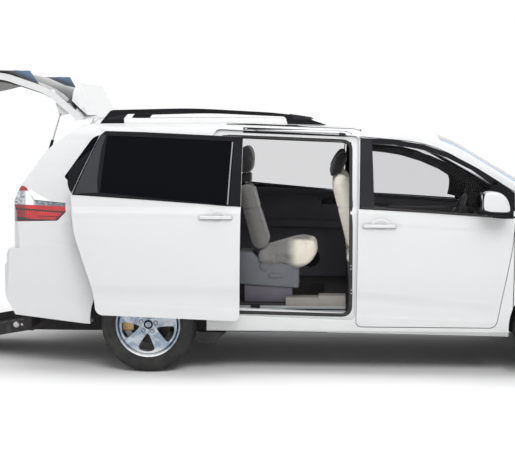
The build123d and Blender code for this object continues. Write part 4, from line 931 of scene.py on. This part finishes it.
for end, along in (("front", wheelbase), ("rear", 0.0)):
    for side, hand in hands:
        hub = Vector((axle_x + along, side * half_track, tyre_radius))
        wheel, out = f"{end}_{hand}", (0, side, 0)
        body = f"wheel_{wheel}"
        tyre = turned_piece(f"tyre_tread_{wheel}", body, tyre_rubber, tyre_profile, hub, out, 96, 40)
        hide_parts(f"tyre_{end}_{hand}")
        form = bmesh.new()
        for turn in range(tread_bars):
            angle = 2 * math.pi * turn / tread_bars
            for sign in (-1, 1):
                verts = brick(form, (-0.0035, sign * 0.094 - 0.018, 0.336),
                              (0.0035, sign * 0.094 + 0.018, 0.3500))
                for vert in verts:
                    if vert.co.z > 0.34 and abs(vert.co.y) > 0.1:
                        vert.co.z -= 0.0085
                bmesh.ops.rotate(form, verts=verts, cent=(0, 0, 0),
                                 matrix=Matrix.Rotation(angle + 0.05 * sign, 3, "Y"))
        bmesh.ops.translate(form, verts=form.verts, vec=hub)
        made(form, f"shoulder_bars_{wheel}", body, tyre_rubber)
        # Rim: barrel and lip
        rim = turned_piece(
            f"rim_barrel_{wheel}", body, alloy,
            [(0.1040, 0.2330), (0.1050, 0.2400), (0.0980, 0.2405), (0.0900, 0.2360), (0.0800, 0.2270),
             (-0.0800, 0.2270), (-0.0900, 0.2360), (-0.1000, 0.2400), (-0.1050, 0.2380),
             (-0.1040, 0.2300), (-0.0850, 0.2170), (0.0550, 0.2120), (0.0850, 0.2210),
             (0.0960, 0.2270), (0.1010, 0.2290), (0.1040, 0.2330)], hub, out, 96, 30)
        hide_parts(f"rim_{end}_{hand}")
        # Face: five arms round five rounded windows, one plate joined to hub and barrel
        form = bmesh.new()
        for spoke in range(arms):
            rows = []
            for radius, reach, face in wheel_face:
                row = []
                for share in (-1, -0.93, -0.72, -0.4, 0, 0.4, 0.72, 0.93, 1):
                    angle = spoke_turn + math.radians(360 / arms * spoke + reach * share)
                    fold = 0.0035 * (abs(share) - 0.6) if reach < 35 and abs(share) < 0.94 else 0.0
                    row.append(form.verts.new((radius * math.sin(angle), side * (face + fold),
                                               radius * math.cos(angle))))
                rows.append(row)
            for inner, outer in zip(rows, rows[1:]):
                for k in range(8):
                    form.faces.new((inner[k], inner[k + 1], outer[k + 1], outer[k]))
        bmesh.ops.remove_doubles(form, verts=form.verts, dist=0.0004)
        for vert in drawn_out(form):
            at_hub = vert.co.x ** 2 + vert.co.z ** 2 <= hub_radius ** 2
            vert.co.y -= side * (hub_depth if at_hub else arm_depth)
        bmesh.ops.translate(form, verts=form.verts, vec=hub)
        spokes = made(form, f"rim_spokes_{wheel}", body, alloy, bevel=0.004, smooth=28, levels=1)
        turned_piece(f"rim_hub_{wheel}", body, barrel_grey,
                     [(0.020, 0.0001), (0.020, 0.060), (0.050, 0.066), (0.072, 0.066), (0.072, 0.0001)],
                     hub, out, 60)
        # Painted shade: a black ring round the cap stands for the shaded hollow it sits in.
        turned_piece(f"cap_recess_shade_{wheel}", body, satin_black,
                     [(0.070, 0.0001), (0.070, 0.034), (0.0855, 0.034), (0.0858, 0.030),
                      (0.0835, 0.027), (0.0835, 0.0001)], hub, out)
        turned_piece(f"wheel_cap_{wheel}", body, alloy,
                     [(0.070, 0.0001), (0.070, 0.022), (0.0870, 0.022), (0.0885, 0.020),
                      (0.0890, 0.014), (0.0892, 0.0001)], hub, out)
        # Painted shade: black rings round the nuts stand for the shaded hollows they sit in.
        nuts, recess_shades = bmesh.new(), bmesh.new()
        for nut in range(arms):
            angle = 2 * math.pi * nut / arms + spoke_turn
            place = hub + Vector((math.sin(angle), 0, math.cos(angle))) * nut_circle
            ring_lathe(recess_shades, [(0.070, 0.0001), (0.070, 0.0165), (0.0855, 0.0165), (0.0860, 0.0145),
                                  (0.0835, 0.0125), (0.0835, 0.0001)], place, out, 24)
            ring_lathe(nuts, [(0.070, 0.0001), (0.070, 0.0095), (0.0870, 0.0095), (0.0900, 0.0060),
                              (0.0905, 0.0001)], place, out, 6)
        made(recess_shades, f"nut_recesses_{wheel}", body, satin_black, smooth=30)
        made(nuts, f"lug_nuts_{wheel}", body, bright_steel, smooth=20)
        turned_piece(f"brake_disc_{wheel}", body, disc_iron,
                     [(-0.025, 0.0001), (-0.025, 0.157), (-0.0225, 0.158), (-0.0150, 0.158),
                      (-0.0125, 0.157), (-0.0125, 0.092), (0.030, 0.088), (0.034, 0.080),
                      (0.034, 0.0001)], hub, out, 72, 30)

# Underbody, exhaust and engine: pressed and welded steel in black underseal, a stainless silencer
# and a cast engine under a moulded cover.
cast_metal = worn("cast_engine_metal", (0.16, 0.16, 0.16), (0.34, 0.34, 0.335), (14.0, 6.0),
                  (12.0, 0.5, 0.7), (300.0, 4.0, 0.4, 0.001), Metallic=0.5)
finish_node(underseal, "front_structure", "front_subframe")
finish_node(bright_steel, "exhaust")
finish_node(cast_metal, "engine")
engine_low, engine_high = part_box("engine")
form = bmesh.new()
brick(form, (engine_low.x + 0.04, -0.24, engine_high.z + 0.001),
      (engine_high.x - 0.05, 0.24, engine_high.z + 0.003))
soften(form, 0.0008, 1)
for rib in range(7):
    y = -0.18 + rib * 0.06
    brick(form, (engine_low.x + 0.08, y - 0.008, engine_high.z + 0.0025),
          (engine_high.x - 0.09, y + 0.008, engine_high.z + 0.0045))
made(form, "engine_cover", "body", satin_black)
block_piece("engine_ribs", cast_metal,
            [((x - 0.008, y - 0.035, 0.40), (x + 0.008, y + 0.035, 0.84))
             for x in (engine_low.x - 0.002, engine_high.x + 0.002)
             for y in (-0.24, -0.12, 0.0, 0.12, 0.24)], 0.006, 2)
turned_piece("tail_pipe", "body", bright_steel,
             [(0.0, 0.026), (0.10, 0.026), (0.10, 0.030), (-0.055, 0.033), (-0.055, 0.028), (0.0, 0.026)],
             (-0.15, -0.56, 0.35), (-1, 0, 0), 32, turn=(0, 0, 1))

# Cabin floor and linings: loop-pile carpet and vinyl, moulded panels clipped to doors and walls,
# beige step strips, and a knitted headliner glued to its board.
carpet = worn("loop_pile_carpet", (0.022, 0.020, 0.022), (0.055, 0.050, 0.052), (30.0, 6.0),
              (20.0, 0.85, 0.95), cells=(330.0, 0.7, 0.002))
charcoal = worn("charcoal_lining", (0.080, 0.076, 0.092), (0.125, 0.118, 0.140), (6.0, 5.0),
                (8.0, 0.55, 0.7), cells=(460.0, 0.35, 0.0006))
ledge_grey = worn("ledge_grey_moulding", (0.085, 0.085, 0.090), (0.125, 0.124, 0.130), (6.0, 5.0),
                  (8.0, 0.5, 0.65))
step_beige = worn("beige_step", (0.17, 0.158, 0.145), (0.26, 0.24, 0.215), (18.0, 6.0),
                  (15.0, 0.5, 0.7), (500.0, 3.0, 0.25, 0.0006))
graph = Graph("knitted_headliner")
headliner = graph.set(
    Base_Color=mixed(graph.noise(7.0, 5.0), (0.46, 0.45, 0.42, 1), (0.56, 0.55, 0.52, 1)),
    Roughness=weathered(graph, 10.0, 0.85, 0.95),
    Normal=graph.bump(graph.waves("DIAGONAL", 420.0), 0.4, 0.0006))
finish_node(carpet, "floor")
finish_node(charcoal, "instrument_panel")
speaker_radius, lining_inner, lining_outer = 0.085, 0.70, 0.858
speaker_rim = [(0.26 + speaker_radius * math.cos(a * 0.5236), 0.66 + speaker_radius * math.sin(a * 0.5236))
               for a in range(12)]
for name, corners, material, fit in (
        ("lining", [(-0.46, 0.50), (-0.55, 1.08), (-0.572, 1.300), (0.0, 1.272), (0.575, 1.232),
                    (0.575, 0.50)], charcoal, (-0.106, 0.016, 0.06, 0.004)),
        ("ledge", [(-0.565, 1.240), (-0.565, 1.262), (0.0, 1.246), (0.57, 1.216), (0.57, 1.194)],
         ledge_grey, (-0.090, 0.055, 0.06, 0.008)),
        ("armrest", [(-0.50, 0.945), (-0.50, 1.005), (0.54, 0.985), (0.54, 0.925)], charcoal,
         (-0.118, 0.050, 0.06, 0.012)),
        ("speaker", speaker_rim, satin_black, (-0.120, 0.006, 0.05, 0.003))):
    laid_on(f"far_door_{name}", "sliding_door_left", 1, corners, "body", material, *fit)
for side, hand in hands:
    door = f"front_door_{hand}"
    laid_on(f"front_door_lining_{hand}", door, side,
            [(0.73, 0.44), (0.73, 1.195), (1.60, 1.14), (1.66, 0.95), (1.56, 0.44)],
            door, charcoal, -0.107, 0.014, 0.06, 0.004)
    laid_on(f"front_door_armrest_{hand}", door, side,
            [(0.80, 0.86), (0.80, 0.925), (1.36, 0.945), (1.48, 0.90), (1.30, 0.86)],
            door, charcoal, -0.118, 0.045, 0.06, 0.012)
    low, high = sorted((side * lining_inner, side * lining_outer))
    form = bmesh.new()
    brick(form, (-1.80, low, 0.499), (-1.36, high, 0.90))
    cut_up(form, 0.08, (0, 2))
    soften(form, 0.02, 3, fold=0.8)
    made(form, f"cargo_side_lining_{hand}", "body", charcoal, smooth=50)
for x0, x1, z0, z1 in ((0.112, 0.360, 0.487, 0.550), (0.352, 0.556, 0.487, 0.565)):
    block_piece(f"step_strip_{round(x0 * 1000)}", step_beige,
                [((x0, -lining_outer, z0), (x1, -lining_inner, z1))], 0.006)
block_piece("sill_scuff_plates", bead_grey, [((-0.30, -0.908, 0.4405), (0.555, -0.872, 0.461)),
                                             ((-0.30, -0.866, 0.4670), (0.555, -0.850, 0.490))], 0.004)
block_piece("lower_rail_slot", satin_black, [((-0.30, -0.872, 0.4405), (0.555, -0.862, 0.4665)),
                                             ((-0.146, -0.878, 0.4600), (-0.076, -0.850, 0.5020))],
            0.002)
roof_tree = skin_tree("roof")
form = bmesh.new()
form.faces.new([form.verts.new((x, y, 0))
                for x, y in ((-1.33, -0.62), (1.20, -0.62), (1.20, 0.62), (-1.33, 0.62))])
cut_up(form, 0.12, (0, 1))
raised = set(drawn_out(form))
for vert in form.verts:
    hit = roof_tree.ray_cast(Vector((vert.co.x, vert.co.y, 1.2)), Vector((0, 0, 1)))[0]
    inner = hit.z if hit is not None else 1.70
    vert.co.z = inner - (0.001 if vert in raised else 0.012)
made(form, "headliner", "body", headliner, smooth=60)

# Seats: foam pads in woven cloth over plastic shells. The pads are swollen by a cloth simulation,
# then sewn channels are pressed in. The second row is grey, the front row cream.
def cloth_cover(name, dark, light, glow=None):
    """Woven seat cloth: two sets of threads and a slow drift of shade. A glow is a painted
    highlight: a paler colour laid on a cushion's front edge, where daylight falls on it."""
    graph = Graph(name, Sheen_Weight=0.35, Sheen_Roughness=0.5)
    warp = graph.waves("Y", 260.0, Distortion=0.6)
    weft = graph.waves("Z", 260.0, Distortion=0.6)
    threads = warp * 0.5 + weft * 0.5
    color = mixed(graph.noise(9.0, 6.0) * 0.6 + threads * 0.4, dark, light)
    # The glow is a painted highlight on the cushion's front.
    if glow:
        x, z = graph.axis(0), graph.axis(2)
        front = step_up(x + graph.noise(9.0) * 0.06, 0.14, 0.24) * step_up(z, 0.76, 0.82)
        front = front * step_up(z, 0.985, 0.965)
        color = mixed(front, color, glow)
    return graph.set(Base_Color=color, Roughness=weathered(graph, 14.0, 0.75, 0.92),
                     Normal=graph.bump(threads, 0.5, 0.0008))


# The grey cloth's last colour is the painted highlight of daylight on the cushion's front.
grey_cloth = cloth_cover("grey_seat_cloth", (0.13, 0.127, 0.122, 1), (0.20, 0.196, 0.188, 1),
                         (0.66, 0.62, 0.53, 1))
dark_cloth = cloth_cover("dark_seat_cloth", (0.085, 0.083, 0.082, 1), (0.150, 0.147, 0.143, 1))
cream_cloth = cloth_cover("cream_seat_cloth", (0.80, 0.75, 0.66, 1), (0.92, 0.87, 0.78, 1))
black_cloth = cloth_cover("black_head_cloth", (0.006, 0.0055, 0.006, 1), (0.014, 0.013, 0.014, 1))
seat_shell = worn("grey_seat_shell", (0.085, 0.092, 0.105), (0.125, 0.132, 0.145), (8.0, 5.0),
                  (10.0, 0.5, 0.65), (600.0, 3.0, 0.25, 0.0006))


def pad(name, corners, middle, half, material, channels=(), round_off=0.03):
    """A stuffed pad from its side outline, as wide as two halves about its middle. A channel is
    (axis, place), and is pressed in where a seam is sewn."""
    swell, seam_width, seam_depth = 0.018, 0.009, 0.007
    form = bmesh.new()
    flat_face(form, corners, middle - half)
    drawn_out(form, (0, 2 * half, 0))
    bmesh.ops.recalc_face_normals(form, faces=form.faces)
    soften(form, round_off, 4, fold=0.3)
    mesh = bpy.data.meshes.new(name)
    form.to_mesh(mesh)
    form.free()
    blank = placed(name + "_blank", mesh)
    remesh = blank.modifiers.new("remesh", "REMESH")
    remesh.mode, remesh.voxel_size = "VOXEL", 0.009
    even = evaluated(blank)
    bpy.data.objects.remove(blank)
    piece = placed(name, even)
    rest = [v.co.copy() for v in even.vertices]
    cloth = piece.modifiers.new("stuffing", "CLOTH")
    cloth.settings.use_pressure = True
    cloth.settings.uniform_pressure_force = 4.0
    cloth.settings.effector_weights.gravity = 0.0
    cloth.settings.quality = 4
    for step in range(1, 15):
        bpy.context.scene.frame_set(step)
    swollen = evaluated(piece)
    piece.modifiers.clear()
    piece.data = swollen
    bpy.context.scene.frame_set(1)
    mesh = piece.data
    mesh.name = name
    for vert, start in zip(mesh.vertices, rest):
        move = vert.co - start
        if move.length > swell:
            vert.co = start + move.normalized() * swell
    normals = [v.normal.copy() for v in mesh.vertices]
    for vert, normal in zip(mesh.vertices, normals):
        press = 0.0
        for axis, place in channels:
            press = max(press, math.exp(-((vert.co[axis] - place) / seam_width) ** 2))
        vert.co -= normal * press * seam_depth
    mesh.polygons.foreach_set("use_smooth", [True] * len(mesh.polygons))
    mesh.materials.clear()
    mesh.materials.append(material)
    rounded(piece, 1)
    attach(piece, "body")
    return piece


def mirrored(piece, name):
    """The same pad on the other flank."""
    form = bmesh.new()
    form.from_mesh(piece.data)
    bmesh.ops.scale(form, vec=(1, -1, 1), verts=form.verts)
    bmesh.ops.reverse_faces(form, faces=form.faces)
    twin = made(form, name, "body", piece.data.materials[0], smooth=180, levels=1)
    return twin


def seat_pads(row, middle, half, cushion, back, head, shell, posts, covers, paired=True):
    """The stuffed pads of one row, the shell under them and the head posts, at the right and,
    when paired, at the left too. Covers are those of the cushion, the back and the head."""
    pieces = []
    for kind, corners, reach, round_off, cover, seams in (
            ("cushion", cushion, half - 0.012, 0.035, covers[0],
             [(1, middle - half * 0.58), (1, middle + half * 0.58)]),
            ("back", back, half - 0.022, 0.035, covers[1],
             [(1, middle - half * 0.52), (1, middle + half * 0.52), (2, 1.20)]),
            ("head", head, 0.122, 0.028, covers[2], [])):
        piece = pad(f"{row}_{kind}_right", moved(corners, axle_x), middle, reach, cover, seams,
                    round_off=round_off)
        pieces.append(piece)
        if paired:
            pieces.append(mirrored(piece, f"{row}_{kind}_left"))
    for side, hand in ((1, "right"), (-1, "left"))[:2 if paired else 1]:
        form = bmesh.new()
        width = half - 0.055
        flat_face(form, moved(shell, axle_x), side * middle - width)
        drawn_out(form, (0, 2 * width, 0))
        soften(form, 0.012, 3)
        pieces.append(made(form, f"{row}_shell_{hand}", "body", seat_shell, smooth=40))
        form, post = bmesh.new(), 0.0065
        for y in (-0.065, 0.065):
            ring_lathe(form, [(-0.06, 0.0001), (-0.06, post), (0.08, post), (0.08, 0.0001)],
                       (posts[0] + axle_x, side * middle + y, posts[1]), (0, 0, 1), 16)
        pieces.append(made(form, f"{row}_head_posts_{hand}", "body", bright_steel))
    return pieces


rear_pieces = seat_pads(
    "rear_seat", -0.640, 0.210,
    [(0.795, 0.805), (0.800, 0.895), (0.90, 0.912), (1.08, 0.966), (1.210, 0.984), (1.245, 0.950),
     (1.240, 0.870), (1.190, 0.800), (1.110, 0.765), (1.00, 0.795)],
    [(0.790, 0.890), (0.735, 1.10), (0.660, 1.375), (0.740, 1.405), (0.80, 1.18), (0.885, 0.910)],
    [(0.668, 1.466), (0.660, 1.600), (0.690, 1.668), (0.736, 1.672), (0.764, 1.620), (0.762, 1.500),
     (0.730, 1.462)],
    [(0.660, 0.640), (0.660, 0.880), (0.760, 0.880), (0.830, 0.815), (1.00, 0.800), (1.112, 0.768),
     (1.108, 0.612)],
    (0.712, 1.450), (grey_cloth, dark_cloth, black_cloth), paired=False)
# The folding stand under the second-row seat, its side panel's lever and pivot cap, and the neck
block_piece("rear_seat_stand", charcoal,
            [((axle_x + 0.70, -0.775, 0.502), (axle_x + 1.06, -0.505, 0.640))], 0.01, 2)
form = bmesh.new()
ring_lathe(form, [(-0.004, 0.034), (0.006, 0.034), (0.010, 0.028), (0.010, 0.0001)],
           (axle_x + 0.850, -0.795, 0.775), (0, -1, 0), 28)
brick(form, (axle_x + 0.885, -0.803, 0.690), (axle_x + 0.985, -0.790, 0.722))
soften(form, 0.004, 2, fold=1.2)
made(form, "rear_seat_levers", "body", seat_shell, smooth=40)
block_piece("rear_seat_neck", black_cloth,
            [((axle_x + 0.676, -0.715, 1.392), (axle_x + 0.748, -0.565, 1.470))], 0.02, 4, smooth=50)
front_pieces = seat_pads(
    "front_seat", -0.452, 0.250,
    [(1.450, 0.790), (1.450, 0.870), (1.70, 0.885), (1.940, 0.915), (1.945, 0.86), (1.930, 0.800)],
    [(1.495, 0.872), (1.360, 1.405), (1.382, 1.462), (1.452, 1.466), (1.52, 1.18), (1.595, 0.897)],
    [(1.330, 1.428), (1.388, 1.600), (1.446, 1.630), (1.464, 1.598), (1.418, 1.458)],
    [(1.485, 0.502), (1.470, 0.790), (1.890, 0.795), (1.855, 0.502)],
    (1.396, 1.470), (cream_cloth, cream_cloth, black_cloth))
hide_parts("rear_seat")
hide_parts("front_seats")

# Instrument panel and steering wheel: a padded moulding with vents, a screen and a cluster hood,
# and a stitched leather rim on a column.
leather = worn("rim_leather", (0.014, 0.014, 0.015), (0.03, 0.03, 0.031), (15.0, 4.0),
               (15.0, 0.4, 0.55), cells=(380.0, 0.3, 0.0006))
finish_node(leather, "steering_wheel")
form = bmesh.new()
brick(form, (1.648, 0.235, 1.085), (1.76, 0.605, 1.165))
for vert in form.verts:
    if vert.co.z > 1.1 and vert.co.x > 1.7:
        vert.co.z -= 0.03
soften(form, 0.022, 4)
made(form, "cluster_hood", "body", charcoal, smooth=50)
block_piece("cluster_face", gloss_black, [((1.6455, 0.265, 1.098), (1.6490, 0.575, 1.150))], 0.001, 1)
block_piece("centre_screen", gloss_black, [((1.622, -0.125, 0.965), (1.648, 0.125, 1.095))], 0.006)
form = bmesh.new()
for y in (-0.76, -0.19, 0.19, 0.76):
    for k in range(5):
        z = 0.992 + k * 0.014
        brick(form, (1.624, y - 0.052, z - 0.002), (1.652, y + 0.052, z + 0.002))
    brick(form, (1.622, y - 0.060, 0.980), (1.650, y - 0.054, 1.060))
    brick(form, (1.622, y + 0.054, 0.980), (1.650, y + 0.060, 1.060))
soften(form, 0.0008, 1)
made(form, "air_vents", "body", satin_black)
form = bmesh.new()
brick(form, (1.628, -0.13, 0.80), (1.70, 0.13, 0.955))
soften(form, 0.012)
brick(form, (1.634, -0.66, 0.835), (1.70, -0.24, 0.955))
made(form, "switch_stack", "body", satin_black, smooth=50)
hub = Vector((axle_x + 2.372, 0.420, 1.070))
turned_piece("horn_pad", "body", leather,
             [(0.015, 0.0001), (0.015, 0.058), (0.028, 0.060), (0.036, 0.050), (0.039, 0.020),
              (0.040, 0.0001)], hub, (-0.9, 0, 0.436), 48, 50)
form = bmesh.new()
brick(form, (1.350, -0.12, 1.560), (1.372, 0.12, 1.625))
soften(form, 0.009, 4)
brick(form, (1.366, -0.012, 1.60), (1.395, 0.012, 1.665))
made(form, "rear_view_mirror", "body", satin_black, smooth=50)

# Daylight studio: a pale floor and a white surround seen by the camera, in reflections and
# through glass, with soft lamps at a plain level, and the camera at the photograph's place.
graph = Graph("pale_floor", Roughness=0.9)
x, y = graph.axis(0), graph.axis(1)
seen = step_up(x, -3.9, -3.0) * step_up(y, 2.5, 1.5)
floor_tone = graph.set(
    Base_Color=mixed(graph.noise(0.7, 2.0), (0.86, 0.86, 0.86, 1), (0.88, 0.88, 0.88, 1)),
    Alpha=seen)
form = bmesh.new()
form.faces.new([form.verts.new((x, y, -0.0005)) for x, y in ((-9, -9), (9, -9), (9, 14), (-9, 14))])
mesh = bpy.data.meshes.new("studio_floor")
form.to_mesh(mesh)
form.free()
mesh.materials.append(floor_tone)
studio_floor = placed("studio_floor", mesh)

world = bpy.data.worlds.new("white_surround")
bpy.context.scene.world = world
world.use_nodes = True
tree = world.node_tree
background = tree.nodes["Background"]
background.inputs["Color"].default_value = (1, 1, 1, 1)
path = tree.nodes.new("ShaderNodeLightPath")
most, more = tree.nodes.new("ShaderNodeMath"), tree.nodes.new("ShaderNodeMath")
most.operation = more.operation = "MAXIMUM"
for kind, socket in (("Camera", most.inputs[0]), ("Transmission", most.inputs[1]),
                     ("Glossy", more.inputs[1])):
    tree.links.new(path.outputs[f"Is {kind} Ray"], socket)
tree.links.new(most.outputs[0], more.inputs[0])
plain_light, pure_white = 0.62, 1.0
level = tree.nodes.new("ShaderNodeMapRange")
level.inputs["To Min"].default_value = plain_light
level.inputs["To Max"].default_value = pure_white
tree.links.new(more.outputs[0], level.inputs["Value"])
tree.links.new(level.outputs[0], background.inputs["Strength"])


def lamp(name, place, target, size, power):
    """A soft lamp aimed at a place, itself unseen in mirrors and glass."""
    data = bpy.data.lights.new(name, "AREA")
    data.shape, data.size, data.size_y, data.energy = "RECTANGLE", size[0], size[1], power
    light = placed(name, data)
    light.location = place
    light.rotation_euler = (Vector(target) - Vector(place)).to_track_quat("-Z", "Y").to_euler()
    light.visible_glossy = light.visible_transmission = False


lamp("key_lamp", (1.5, -7.5, 6.5), (-0.2, 0, 0.8), (5.0, 3.0), 420.0)
lamp("top_lamp", (-0.3, 0.0, 7.0), (-0.3, 0, 0), (6.0, 4.0), 260.0)
camera_data = bpy.data.cameras.new("photo_camera")
camera_data.lens, camera_data.sensor_width = 86.74, 36.0
camera = placed("photo_camera", camera_data)
camera.location = (0.4795, -9.95, 1.8625)
yaw, pitch = math.radians(3.62), math.radians(4.86)
gaze = Vector((-math.sin(yaw) * math.cos(pitch), math.cos(yaw) * math.cos(pitch), -math.sin(pitch)))
camera.rotation_euler = gaze.to_track_quat("-Z", "Y").to_euler()
bpy.context.scene.camera = camera
bpy.context.scene.view_settings.view_transform = "Standard"
